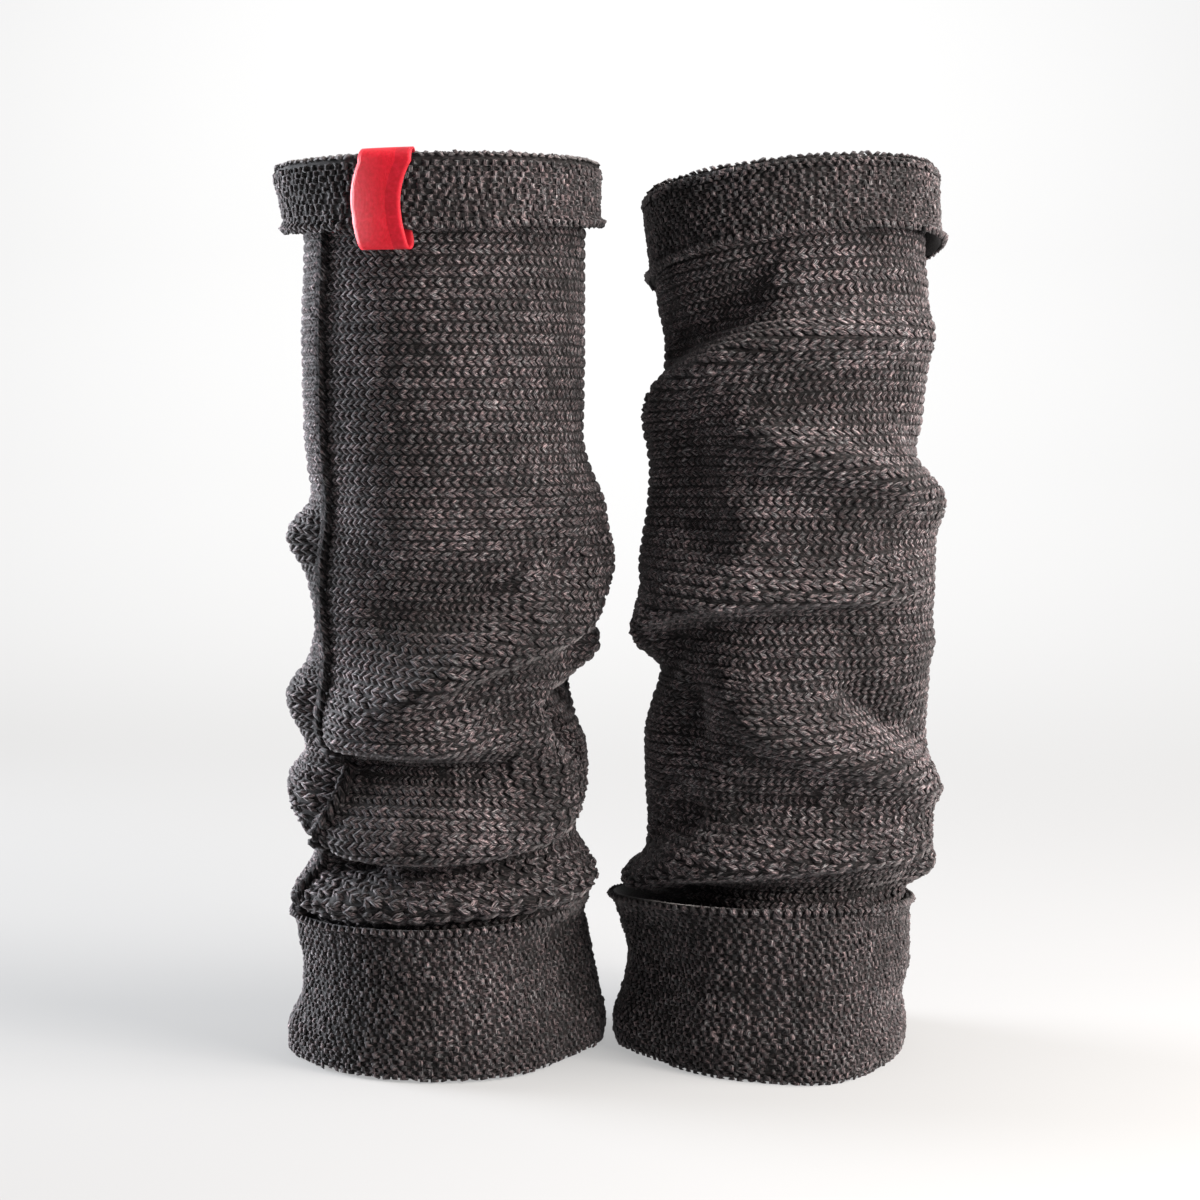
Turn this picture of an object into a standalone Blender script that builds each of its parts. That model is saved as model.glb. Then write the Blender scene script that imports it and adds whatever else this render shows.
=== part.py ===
"""A pair of knitted leg warmers, standing slouched on their turned-up bottom cuffs.

Each one is a single tube of thick knitted cloth. From the free edge of the top cuff the cloth runs
up, over the rim, down inside the cuff as the body, round the fold that it stands on, and up again
to the free edge of the bottom cuff. The tube is closed by one long seam. The left one carries a
ribbon label over its rim.

Lengths in the tables are millimetres. A turn is an angle round the leg in degrees: 0 faces the
front (-Y), 90 the right (+X), 180 the back and -90 the left.
"""
import math
from collections import namedtuple

import bpy
import numpy as np

MM = 0.001
COLLECTION = "leg_warmers"

# ---- driving dimensions -----------------------------------------------------------------------
WALL = 2.4            # thickness of the cloth
RIM_BEND = 2.0        # radius of the cloth's middle where it turns over the rim
FLOOR_BEND = 2.3      # and where it turns at the floor
FLAT_TRIM = 0.5       # how much of the floor fold is pressed flat
EDGE_CURL = 1.1       # how far a free edge curls outwards
EDGE_CURL_LENGTH = 4.0
SETTLE = 16.0         # stretch below the rim and above the floor where body and cuff part
SEAM_WIDTH = 3.2
SEAM_HEIGHT = 1.3
SEAM_SLACK = 0.35     # more room under the seam, where the wall's faces are twisted
PAIR_CENTRE = (-1.848, -0.252)   # middle of the pair in the tables' coordinates, moved to the origin
LABEL_THICKNESS = 1.0
CLEARANCE = 0.5       # between the cloth and what lies on it, 0.3 where the cloth is flat-faced
CHORD_SAG = 0.35      # how far a flat face of the tube lies inside its curve
BODY_RADIUS = 47.0    # typical radius of the body, for lengths round it
COLUMNS = 28          # faces round a tube
TUCK_CURVE = 4        # rows round a bend

# ---- the tubes, one row for each section ------------------------------------------------------
# left, right, front and back are the outer size from the leg's axis; rise_right and rise_front
# are how much that side of the section stands above the opposite one.
Section = namedtuple("Section", "height left right front back rise_right rise_front")
# A fold runs along the cloth through three points (turn, height). out is how far it stands out
# (or sinks in), drop how far it sags, above and below how far it reaches on either side.
Fold = namedtuple("Fold", "turn0 height0 turn1 height1 turn2 height2 out drop above below")
# A crease runs up and down through body and cuff alike.
Crease = namedtuple("Crease", "turn low high out reach")

LEFT = {
    "axis": -56.0,
    "rim": Section(294.5, 57.0, 51.5, 55.0, 55.0, 1.5, 0.0),
    "top_cuff_edge": Section(274.0, 53.0, 51.0, 54.0, 54.0, 2.0, -6.0),
    "bottom_cuff_edge": Section(48.5, 51.5, 45.0, 53.0, 52.0, 3.0, 0.0),
    "bottom_cuff": [
        Section(30.0, 48.5, 48.0, 54.0, 52.0, 0.0, 0.0),
        Section(18.0, 49.5, 50.5, 56.0, 53.0, 0.0, 0.0),
        Section(8.0, 54.0, 52.5, 57.5, 54.0, 0.0, 0.0),
    ],
    "body": [
        Section(270.0, 47.0, 46.0, 49.0, 49.0, 2.0, 0.0),
        Section(240.0, 48.0, 46.0, 51.0, 51.0, 0.0, 0.0),
        Section(205.0, 47.5, 45.5, 51.0, 52.0, 0.0, 0.0),
        Section(180.0, 44.5, 52.0, 50.0, 52.0, 0.0, 0.0),
        Section(160.0, 46.5, 48.5, 48.0, 52.0, 0.0, 0.0),
        Section(135.0, 45.5, 44.0, 47.5, 50.0, 0.0, 0.0),
        Section(104.0, 45.0, 48.0, 49.5, 49.0, 0.0, 0.0),
        Section(72.0, 44.5, 42.5, 47.5, 48.0, 0.0, 0.0),
        Section(50.0, 47.0, 48.0, 47.0, 46.5, 0.0, 0.0),
        Section(24.0, 44.0, 46.0, 49.5, 47.5, 0.0, 0.0),
    ],
    "folds": {
        "side lobe, high": Fold(-118, 171, -88, 173, -58, 169, 8.5, 0.0, 8, 9),
        "big bulge": Fold(38, 178, 95, 161.5, 150, 160, 6.5, 0.0, 11.5, 11.5),
        "hollow in the bulge": Fold(38, 160, 60, 166, 78, 172, -2.5, 0.0, 8, 8),
        "dark dip over the roll": Fold(-48, 146, 0, 151, 42, 160, -5.0, 0.0, 9, 7),
        "diagonal roll": Fold(104, 155, 27, 139, -50, 118, 8.5, 4.0, 9, 6),
        "diagonal roll's end": Fold(66, 142, 92, 138, 118, 145, 7.0, 2.0, 6, 8.0),
        "side hollow": Fold(44, 114, 82, 120.0, 122, 128, -11.5, 0.0, 6, 14.5),
        "side pocket": Fold(72, 124, 66, 112, 78, 99, -4.5, 0.0, 6, 6),
        "side lobe, middle": Fold(-125, 118, -88, 119, -57, 116, 9.0, 0.0, 9, 13.5),
        "side lobe, low": Fold(-125, 91, -84, 91.5, -44, 89, 9.0, 1.0, 7, 11.5),
        "shelf": Fold(-66, 112, -22, 113, 28, 112, 7.0, 6.5, 14, 6),
        "hollow under the shelf": Fold(-64, 101, -12, 99, 62, 101, -13.0, 0.0, 5, 8),
        "low roll": Fold(-82, 88, 0, 80, 94, 95.5, 9.5, 7.5, 11, 7),
        "crease under the low roll": Fold(-70, 66, 0, 66, 86, 72, -7.0, 0.0, 4, 4),
        "dark tuck": Fold(-56, 66, -42, 66, -26, 67, -4.0, 0.0, 5, 4),
        "lowest roll, front": Fold(-132, 57, 0, 57, 136, 68.5, 8.5, 3.0, 6, 5.0),
        "behind the cuff's edge": Fold(-150, 43, 0, 44, 150, 49, -5.0, 0.0, 4, 12),
        "lowest roll, back": Fold(120, 62, 180, 60, 240, 56, 7.0, 2.0, 6, 6),
        "back roll, low": Fold(112, 92, 180, 86, 236, 88, 6.5, 6.0, 10, 7),
        "back roll, middle": Fold(108, 134, 170, 122, 232, 118, 6.5, 5.0, 11, 9),
        "back roll, high": Fold(120, 176, 175, 168, 228, 172, 4.5, 2.0, 13, 11),
        "back hollow": Fold(130, 106, 180, 104, 232, 104, -3.5, 0.0, 8, 9),
    },
    "creases": [
        Crease(96, -10, 52, 0.8, 7.0),
        Crease(56, -10, 52, -5.0, 14.0),
        Crease(-70, -10, 52, 1.2, 6.0),
    ],
    "seam_turn": [(296, -56), (270, -52), (200, -53), (150, -57), (125, -54), (108, -58), (98, -51),
                  (89, -47), (80, -54), (68, -62), (58, -64), (48, -66), (0, -70)],
}

RIGHT = {
    "axis": 57.0,
    "rim": Section(289.0, 48.0, 50.0, 55.0, 54.0, 8.0, 8.0),
    "top_cuff_edge": Section(262.5, 45.0, 51.0, 54.0, 53.0, 11.0, 15.0),
    "bottom_cuff_edge": Section(51.0, 57.5, 42.0, 53.0, 51.0, -1.0, 8.0),
    "bottom_cuff": [
        Section(30.0, 53.0, 42.0, 54.0, 51.0, 0.0, 0.0),
        Section(18.0, 55.0, 39.5, 56.0, 52.0, 0.0, 0.0),
        Section(8.0, 58.0, 41.0, 57.5, 53.0, 0.0, 0.0),
    ],
    "body": [
        Section(262.0, 43.5, 45.5, 49.0, 48.0, 10.0, 12.0),
        Section(236.0, 40.5, 47.0, 49.0, 49.0, 5.0, 8.0),
        Section(205.0, 43.0, 45.5, 48.0, 51.0, 2.0, 5.0),
        Section(180.0, 46.5, 47.5, 49.0, 52.0, 0.0, 3.0),
        Section(162.0, 49.0, 50.0, 49.0, 52.0, 0.0, 2.0),
        Section(130.0, 41.5, 48.5, 48.0, 51.0, 0.0, 0.0),
        Section(104.0, 47.0, 48.0, 48.5, 50.0, 0.0, 0.0),
        Section(76.0, 46.0, 44.5, 47.5, 49.0, 0.0, 0.0),
        Section(53.0, 39.0, 43.0, 46.0, 46.0, 0.0, 0.0),
        Section(24.0, 49.5, 36.0, 49.0, 47.0, 0.0, 0.0),
    ],
    "folds": {
        "high ridge": Fold(-104, 211.0, -22, 230, 112, 236.5, 7.5, 1.5, 6, 10),
        "dark side hollow": Fold(-95, 233.5, -50, 238, 0, 247, -6.0, 0.0, 12, 7),
        "left shoulder": Fold(-130, 211, -88, 210.0, -52, 212, 4.0, 0.0, 9, 14.5),
        "second ridge": Fold(-40, 212, 30, 195, 120, 177.5, 8.0, 2.0, 7, 11),
        "right dip": Fold(40, 209, 84, 198, 125, 203, -2.5, 0.0, 8, 9.0),
        "left hollow": Fold(-84, 183.5, -50, 175, -18, 164, -5.0, 0.0, 14, 11),
        "middle ridge": Fold(-106, 132.5, -28, 157, 84, 153, 8.0, 4.5, 8, 5),
        "middle ridge's end": Fold(-116, 141, -90, 136.5, -66, 144, 7.0, 1.0, 7, 6.5),
        "line under it": Fold(-84, 136, -28, 145, 56, 144, -5.0, 0.0, 4, 8),
        "left notch": Fold(-125, 127, -88, 133.0, -52, 130, -1.5, 0.0, 6, 8),
        "soft ridge": Fold(-40, 134, 15, 109, 118, 80.5, 8.0, 2.5, 9, 10),
        "hollow beside it": Fold(10, 134, 46, 114, 94, 103, -6.5, 0.0, 10, 7),
        "low left hollow": Fold(-66, 122, -48, 108, -34, 94, -5.0, 0.0, 11, 11),
        "hollow over the low roll": Fold(-98, 67.0, -35, 83, 48, 90, -7.0, 0.0, 9, 5),
        "low roll": Fold(-128, 51.5, -8, 75, 122, 71, 8.5, 6.5, 9, 7),
        "low roll's right end": Fold(66, 68, 94, 63.5, 122, 68, 7.0, 2.0, 7.0, 6.5),
        "low roll's left end": Fold(-134, 59, -90, 59.5, -50, 62, 12.5, 1.0, 5.0, 6.5),
        "tuck under the low roll": Fold(-112, 58.0, 0, 58, 118, 51.0, -7.0, 0.0, 5, 12),
        "back low roll": Fold(106, 78, 180, 70, 248, 67, 7.0, 5.0, 9, 7),
        "back roll, low": Fold(116, 112, 180, 104, 244, 106, 6.0, 5.0, 11, 9),
        "back roll, middle": Fold(112, 150, 185, 146, 250, 142, 6.0, 4.0, 11, 9),
        "back roll, high": Fold(118, 200, 180, 192, 244, 198, 5.0, 2.0, 13, 11),
        "back hollow": Fold(120, 128, 180, 126, 240, 124, -3.5, 0.0, 8, 9),
    },
    "creases": [
        Crease(12, -10, 54, 4.0, 12.0),
        Crease(-56, -10, 54, -5.5, 14.0),
        Crease(56, -10, 54, -1.0, 10.0),
        Crease(100, -10, 54, 1.5, 9.0),
    ],
    "seam_turn": [(296, 180), (230, 177), (160, 182), (110, 176), (70, 184), (0, 180)],
}

# Ribbon label: turns of its middle at the rim and at the cuff's edge, and how far it bows between
LABEL_TOP, LABEL_BOTTOM, LABEL_BOW = -16.4, -19.4, 2.2
LABEL_WIDTH_TURN = 17.6      # degrees that the ribbon spans
LABEL_INSIDE = 14.0          # how far it reaches down inside the rim
LABEL_HANG = 7.0             # how far its loop hangs below the cuff's edge

COLOURS = {
    "knit": (0.055, 0.053, 0.055),
    "seam": (0.040, 0.038, 0.040),
    "ribbon": (0.55, 0.020, 0.045),
}


# ---- small mathematics ------------------------------------------------------------------------
def ease(t):
    """0 to 1 with soft ends."""
    t = np.clip(t, 0.0, 1.0)
    return t * t * (3.0 - 2.0 * t)


def smooth_through(places, values, at):
    """A curve through the table's values that never overshoots them."""
    x, y = np.asarray(places, float), np.asarray(values, float)
    if x[0] > x[-1]:
        x, y = x[::-1], y[::-1]
    step, rise = np.diff(x), np.diff(y)
    slope = rise / step
    tangent = np.zeros(len(x))
    for i in range(1, len(x) - 1):
        if slope[i - 1] * slope[i] > 0:
            w0, w1 = 2 * step[i] + step[i - 1], step[i] + 2 * step[i - 1]
            tangent[i] = (w0 + w1) / (w0 / slope[i - 1] + w1 / slope[i])
    at = np.clip(np.asarray(at, float), x[0], x[-1])
    i = np.clip(np.searchsorted(x, at, side="right") - 1, 0, len(x) - 2)
    t = (at - x[i]) / step[i]
    start, end = tangent[i] * step[i], tangent[i + 1] * step[i]
    return (y[i] + t * start + t * t * (3 * rise[i] - 2 * start - end)
            + t ** 3 * (start + end - 2 * rise[i]))


def section_at(table, height):
    """The section between a table's rows, one value for each height."""
    rows = sorted(table, key=lambda row: row.height)
    heights = [row.height for row in rows]
    columns = [smooth_through(heights, [row[i] for row in rows], height) for i in range(1, 7)]
    return Section(height, *columns)


def mix(a, b, t):
    """A section part of the way from a to b."""
    return Section(*[x + (y - x) * t for x, y in zip(a, b)])


def narrower(section, inset):
    """The section with its four sides moved in."""
    return section._replace(left=section.left - inset, right=section.right - inset,
                            front=section.front - inset, back=section.back - inset)


# ---- the cloth's middle surface ---------------------------------------------------------------
def ring(leg, section, turn, out=0.0, drop=0.0):
    """Points of a section at the given turns (degrees), pushed out and let down."""
    angle = np.radians(turn)
    s, c = np.sin(angle), np.cos(angle)
    across = np.where(s < 0, section.left, section.right)
    along = np.where(c > 0, section.front, section.back)
    x = leg["axis"] + s * (across + out)
    y = -c * (along + out)
    z = section.height + 0.5 * section.rise_right * s + 0.5 * section.rise_front * c - drop
    return np.stack(np.broadcast_arrays(x, y, z), axis=-1)


def fold_profile(fold, turn, height):
    """How strongly a fold acts at each place: 1 on its crest, 0 well away from it."""
    per_degree = math.radians(BODY_RADIUS)
    beside = (fold.above + fold.below) / 2
    turn = (turn - fold.turn1 + 180.0) % 360.0 + fold.turn1 - 180.0
    nearest = np.full(np.broadcast(turn, height).shape, np.inf)
    profile = np.zeros_like(nearest)
    for t in np.linspace(0.0, 1.0, 33):
        # the quadratic that passes through the fold's three points
        a, b, c = (1 - t) * (1 - 2 * t), 4 * t * (1 - t), t * (2 * t - 1)
        along = (a * fold.turn0 + b * fold.turn1 + c * fold.turn2 - turn) * per_degree
        lift = height - (a * fold.height0 + b * fold.height1 + c * fold.height2)
        away = (lift / np.where(lift > 0, fold.above, fold.below)) ** 2 + (along / beside) ** 2
        profile = np.where(away < nearest, np.exp(-away) * ease(min(t, 1 - t) / 0.3), profile)
        nearest = np.minimum(nearest, away)
    return profile


def folded(leg, turn, height):
    """How far the leg's folds push the body out and let it down."""
    out, drop = 0.0, 0.0
    for fold in leg["folds"].values():
        profile = fold_profile(fold, turn, height)
        out = out + fold.out * profile
        drop = drop + fold.drop * profile
    return out, drop


def creased(leg, turn, height):
    """How far the up and down creases push body and cuff out together."""
    out = 0.0
    for crease in leg["creases"]:
        away = (turn - crease.turn + 180.0) % 360.0 - 180.0
        reach = crease.reach * 1.6
        upright = ease((crease.high - height) / 12.0)
        out = out + crease.out * np.exp(-(away / reach) ** 2) * upright
    return out


def top_cuff_section(leg, t):
    """The top cuff from its free edge (0) to where the rim's bend starts (1)."""
    bend_start = leg["rim"]._replace(height=leg["rim"].height - WALL / 2 - RIM_BEND)
    return narrower(mix(leg["top_cuff_edge"], bend_start, t), WALL / 2)


def bottom_cuff_section(leg, height):
    """The bottom cuff at a height, given with its free edge as the table's top row."""
    return narrower(section_at(leg["bottom_cuff"] + [leg["bottom_cuff_edge"]], height), WALL / 2)


def body_section(leg, height):
    """The body at a height; it starts from the rim's bend and ends in the floor's."""
    free = narrower(section_at(leg["body"], height), WALL / 2)
    rim_start = top_cuff_section(leg, 1.0)
    inside_rim = narrower(rim_start, 2 * RIM_BEND)
    near_rim = ease(1.0 - (rim_start.height - height) / SETTLE)
    floor_start = FLOOR_BEND + WALL / 2 - FLAT_TRIM
    inside_floor = narrower(bottom_cuff_section(leg, floor_start), 2 * FLOOR_BEND)
    near_floor = ease(1.0 - (height - floor_start) / SETTLE)
    return mix(mix(free, inside_rim, near_rim), inside_floor, near_floor)._replace(height=height)


def curl(distance):
    """The free edge's outward curl, by distance from the edge."""
    return EDGE_CURL * ease(1.0 - distance / EDGE_CURL_LENGTH)


def cuff_depth(leg):
    """Length of the turned-down top cuff, between its edge and the rim's bend."""
    return top_cuff_section(leg, 1.0).height - leg["top_cuff_edge"].height


def top_cuff_row(leg, t, turn):
    section = top_cuff_section(leg, t)
    return ring(leg, section, turn, curl(t * cuff_depth(leg)))


def rim_row(leg, angle, turn):
    """The bend over the rim: 0 on its outer side, pi on its inner side."""
    start = top_cuff_section(leg, 1.0)
    section = narrower(start, RIM_BEND * (1 - math.cos(angle)))
    return ring(leg, section._replace(height=start.height + RIM_BEND * math.sin(angle)), turn)


def body_row(leg, height, turn):
    out, drop = folded(leg, turn, height)
    return ring(leg, body_section(leg, height), turn, out + creased(leg, turn, height), drop)


def floor_row(leg, angle, turn):
    """The bend at the floor: 0 on its inner side, pi on its outer side."""
    low = FLOOR_BEND + WALL / 2 - FLAT_TRIM
    section = narrower(bottom_cuff_section(leg, low), FLOOR_BEND * (1 + math.cos(angle)))
    section = section._replace(height=low - FLOOR_BEND * math.sin(angle))
    return ring(leg, section, turn, creased(leg, turn, low))


def bottom_cuff_row(leg, height, turn):
    edge = leg["bottom_cuff_edge"]
    share = height / edge.height
    section = bottom_cuff_section(leg, height)
    section = section._replace(height=height, rise_right=edge.rise_right * share ** 2,
                               rise_front=edge.rise_front * share ** 2)
    out = curl(edge.height - height) + creased(leg, turn, height)
    return ring(leg, section, turn, out)


def seam_turn(leg, height):
    """The seam's place round the leg, which all the knitting follows."""
    places, turns = zip(*leg["seam_turn"])
    return float(smooth_through(places, turns, height))


# ---- rows of the grid -------------------------------------------------------------------------
def body_heights(leg):
    """Rows down the body: wide apart where it is plain, close where it is folded."""
    spacing = [(300, 12.0), (235, 11.0), (190, 7.0), (118, 6.0), (96, 4.0), (84, 3.0), (54, 3.0),
               (44, 6.0), (36, 12.0), (0, 12.0)]
    places, steps = zip(*spacing)
    height = top_cuff_section(leg, 1.0).height
    low = FLOOR_BEND + WALL / 2 - FLAT_TRIM
    heights = []
    while True:
        height -= float(smooth_through(places, steps, height))
        if height < low + 5.0:
            return heights
        heights.append(height)


def bend_angles():
    return [math.pi * (i + 1) / (TUCK_CURVE + 1) for i in range(TUCK_CURVE)]


def cloth_grid(leg, columns):
    """The whole cloth's middle surface, from the top cuff's edge to the bottom cuff's edge."""
    around = np.arange(columns) * 360.0 / columns
    edge_share = EDGE_CURL_LENGTH / cuff_depth(leg)
    top = leg["rim"].height
    rows = [top_cuff_row(leg, t, around + seam_turn(leg, top - 20 * (1 - t)))
            for t in (0.0, 0.5 * edge_share, edge_share, 0.55, 1.0)]
    rows += [rim_row(leg, angle, around + seam_turn(leg, top)) for angle in bend_angles()]
    rows += [body_row(leg, h, around + seam_turn(leg, h)) for h in body_heights(leg)]
    rows += [floor_row(leg, angle, around + seam_turn(leg, 0)) for angle in bend_angles()]
    edge = leg["bottom_cuff_edge"].height
    low = FLOOR_BEND + WALL / 2 - FLAT_TRIM
    rows += [bottom_cuff_row(leg, h, around + seam_turn(leg, h))
             for h in (low, 9, 17, 26, 35, edge - EDGE_CURL_LENGTH,
                       edge - 0.5 * EDGE_CURL_LENGTH, edge)]
    return np.array(rows)


# ---- strips that lie on the cloth -------------------------------------------------------------
def outward(grid):
    """Unit normals of a grid, away from the leg on the outer side of the cloth."""
    down, across = np.gradient(grid, axis=0), np.gradient(grid, axis=1)
    normal = np.cross(down, across)
    return normal / np.linalg.norm(normal, axis=-1, keepdims=True)


def seam_grid(leg):
    """The seam's strip: the wall's own points beside the join, moved out as far as it bends."""
    low, high = leg["bottom_cuff_edge"].height + 4.0, leg["top_cuff_edge"].height + 1.0
    heights = [h for h in body_heights(leg) if low <= h <= high]
    column = 360.0 / COLUMNS
    turns = np.array([-column, 0.0, column])
    wall = np.array([body_row(leg, h, turns + seam_turn(leg, h)) for h in heights])
    middle = wall[:, 1:2]
    share = math.degrees(SEAM_WIDTH / 2 / BODY_RADIUS) / column
    run = np.diff(middle, axis=0)
    run = run / np.linalg.norm(run, axis=-1, keepdims=True)
    down = np.concatenate([run[:1], (run[1:] + run[:-1]) / 2, run[-1:]])
    normal = np.cross(down, wall[:, 2:3] - wall[:, 0:1])
    normal = normal / np.linalg.norm(normal, axis=-1, keepdims=True)
    room = WALL / 2 + CLEARANCE + SEAM_SLACK + SEAM_HEIGHT / 2
    lift = room / np.linalg.norm(down, axis=-1, keepdims=True)
    return middle + (wall - middle) * share + normal * lift


def label_grid(leg):
    """The ribbon loop: up behind the cuff, round its edge, up its outside and over the rim."""
    lift = WALL / 2 + CLEARANCE + LABEL_THICKNESS / 2
    inner_lift = lift + CHORD_SAG
    depth = cuff_depth(leg)
    half = LABEL_WIDTH_TURN / 2
    spread = np.linspace(-half, half, 5)

    def turn_at(t):
        return spread + LABEL_BOTTOM + (LABEL_TOP - LABEL_BOTTOM) * t - LABEL_BOW * 4 * t * (1 - t)

    outside = np.array([ring(leg, top_cuff_section(leg, t), turn_at(t), curl(t * depth))
                        for t in (0.0, 0.12, 0.3, 0.5, 0.75, 1.0)])
    normal = -outward(outside)
    behind = outside[:2] - normal[:2] * inner_lift
    edge, edge_normal = outside[0], normal[0]
    downward = outside[0] - outside[1]
    downward = downward / np.linalg.norm(downward, axis=-1, keepdims=True)
    loop = [edge - edge_normal * (lift + CHORD_SAG * (1 + math.cos(a)) / 2) * math.cos(a)
            + downward * LABEL_HANG * math.sin(a) for a in np.linspace(0.0, math.pi, 9)[1:-1]]
    rim = []
    start = top_cuff_section(leg, 1.0)
    for a in np.linspace(0.0, math.pi, 7)[1:]:
        bend = RIM_BEND + lift + CHORD_SAG * (1 - math.cos(a)) / 2
        inset = RIM_BEND - bend * math.cos(a)
        section = narrower(start, inset)._replace(height=start.height + bend * math.sin(a))
        rim.append(ring(leg, section, turn_at(1.0)))
    inside = []
    for fall in (LABEL_INSIDE / 2, LABEL_INSIDE):
        section = narrower(body_section(leg, start.height - fall), inner_lift)
        inside.append(ring(leg, section, turn_at(1.0)))
    rows = list(behind[::-1]) + loop + list(outside + normal * lift) + rim + inside
    return np.array(rows)


# ---- Blender objects --------------------------------------------------------------------------
def material(name, colour, roughness):
    made = bpy.data.materials.new(name)
    made.use_nodes = True
    shader = made.node_tree.nodes["Principled BSDF"]
    shader.inputs["Base Color"].default_value = (*colour, 1.0)
    shader.inputs["Roughness"].default_value = roughness
    shader.inputs["Metallic"].default_value = 0.0
    return made


def sheet_object(name, grid, closed, thickness, collection, look):
    """A grid of points as an open sheet with a Solidify wall, centred on its points."""
    rows, columns = grid.shape[:2]
    points = (grid.reshape(-1, 3) - (*PAIR_CENTRE, 0.0)) * MM
    spans = columns if closed else columns - 1
    faces = []
    for r in range(rows - 1):
        for c in range(spans):
            after = (c + 1) % columns
            faces.append((r * columns + c, r * columns + after,
                          (r + 1) * columns + after, (r + 1) * columns + c))
    mesh = bpy.data.meshes.new(name)
    mesh.from_pydata(points.tolist(), [], faces)
    mesh.materials.append(look)
    mesh.update()
    mesh.shade_smooth()
    made = bpy.data.objects.new(name, mesh)
    collection.objects.link(made)
    wall = made.modifiers.new("wall", "SOLIDIFY")
    wall.thickness = thickness * MM
    wall.offset = 0.0
    wall.use_even_offset = True
    return made


def rest_flat(leg_object, cutter):
    """Trim the floor fold where it rests, so that the leg stands on a flat ring."""
    cut = leg_object.modifiers.new("rests flat", "BOOLEAN")
    cut.operation = "DIFFERENCE"
    cut.object = cutter


def ground_cutter(collection):
    """A block below the floor that trims the undersides."""
    bpy.ops.mesh.primitive_cube_add(size=1.0)
    block = bpy.context.object
    block.name = "ground_cutter"
    depth = 0.01
    for vertex in block.data.vertices:
        vertex.co = (vertex.co.x * 0.4, vertex.co.y * 0.3, (vertex.co.z - 0.5) * depth)
    for home in block.users_collection:
        home.objects.unlink(block)
    collection.objects.link(block)
    block.hide_render = True
    block.display_type = "WIRE"
    return block


def build():
    for old in list(bpy.data.objects):
        bpy.data.objects.remove(old, do_unlink=True)
    parts = bpy.data.collections.new(COLLECTION)
    cutters = bpy.data.collections.new("cutters")
    for collection in (parts, cutters):
        bpy.context.scene.collection.children.link(collection)
    knit = {side: material(side + "_knit", COLOURS["knit"], 0.95) for side in ("left", "right")}
    chain = {side: material(side + "_seam_chain", COLOURS["seam"], 0.95) for side in ("left", "right")}
    ribbon = material("ribbon", COLOURS["ribbon"], 0.6)
    ground = ground_cutter(cutters)
    for side, leg in (("left", LEFT), ("right", RIGHT)):
        tube = sheet_object(side + "_leg_warmer", cloth_grid(leg, COLUMNS), True, WALL, parts, knit[side])
        rest_flat(tube, ground)
        sheet_object(side + "_seam", seam_grid(leg), False, SEAM_HEIGHT, parts, chain[side])
    sheet_object("left_label", label_grid(LEFT), False, LABEL_THICKNESS, parts, ribbon)


build()
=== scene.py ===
"""Looks for a pair of charcoal knitted leg warmers that stand slouched on their bottom cuffs.

Lengths are millimetres until a mesh is made. A turn is an angle round a leg in degrees: 0 faces the
front, 90 the right, 180 the back and -90 the left.
"""
import math
from collections import namedtuple

import bpy
import numpy as np
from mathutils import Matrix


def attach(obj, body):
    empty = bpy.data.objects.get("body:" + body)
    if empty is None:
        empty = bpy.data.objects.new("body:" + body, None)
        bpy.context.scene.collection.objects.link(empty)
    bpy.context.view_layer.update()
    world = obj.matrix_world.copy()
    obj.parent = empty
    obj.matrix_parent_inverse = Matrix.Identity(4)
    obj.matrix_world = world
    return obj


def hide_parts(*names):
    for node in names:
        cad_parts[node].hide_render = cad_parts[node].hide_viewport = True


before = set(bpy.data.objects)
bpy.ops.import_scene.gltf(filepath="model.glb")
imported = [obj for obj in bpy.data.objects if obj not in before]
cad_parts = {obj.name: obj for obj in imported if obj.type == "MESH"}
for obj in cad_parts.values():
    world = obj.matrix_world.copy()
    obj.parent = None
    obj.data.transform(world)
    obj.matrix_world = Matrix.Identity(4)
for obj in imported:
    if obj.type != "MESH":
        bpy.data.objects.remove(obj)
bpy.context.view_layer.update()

# ---- The knitted tubes ------------------------------------------------------------------------
# Each leg warmer is one tube of thick wool-blend rib, closed by one long seam. The cloth runs from
# the top cuff's free edge over the rim, down as the body, round the fold that it stands on and up to
# the bottom cuff's free edge. Here it is a thin smooth shell, which the yarn loops cover.
MM = 0.001
WALL = 2.4                    # thickness of the cloth with its stitches
SHELL = 1.1                   # thickness of the shell under them
SHELL_SAG = 0.6               # how far a half row may lie off its neighbours' line and be left out
RIM_BEND = 2.0                # radius of the cloth's middle over the rim
FLOOR_BEND = 2.3              # and round the fold that it stands on
FLAT_TRIM = 0.5               # how much of that fold the floor presses flat
EDGE_CURL = 1.1               # how far a cuff's free edge rolls outwards,
EDGE_CURL_LENGTH = 4.0        # over this much of the cuff
SETTLE = 16.0                 # height over which the body leaves the rim's and the floor's form
FOLD_FADE = 0.3               # share of a fold's length in which each of its ends dies away
CREASE_FADE = 12.0            # height over which an upright crease dies away at its top
BODY_RADIUS = 47.0
PAIR_CENTRE = (-1.848, -0.252)   # middle of the box round both tubes, which becomes the origin
STITCHES_ROUND = 103
LOOP_WIDTH = 2.9              # one stitch along a row
BODY_ROW = 3.5                # one row of stitches down the body
CUFF_ROW = 3.2                # and down the cuffs, whose cloth is not stretched
FINE_STEP = 0.6               # spacing at which the body's cloth is first worked out
SHARING_ROWS = 8              # half rows over which a fold's extra length is shared out
SEAM_ON_CUFF = 20             # height of the top cuff over which its columns follow the seam
LAST_RISE = WALL / 2 + FLOOR_BEND - FLAT_TRIM   # height at which the floor fold starts

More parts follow.
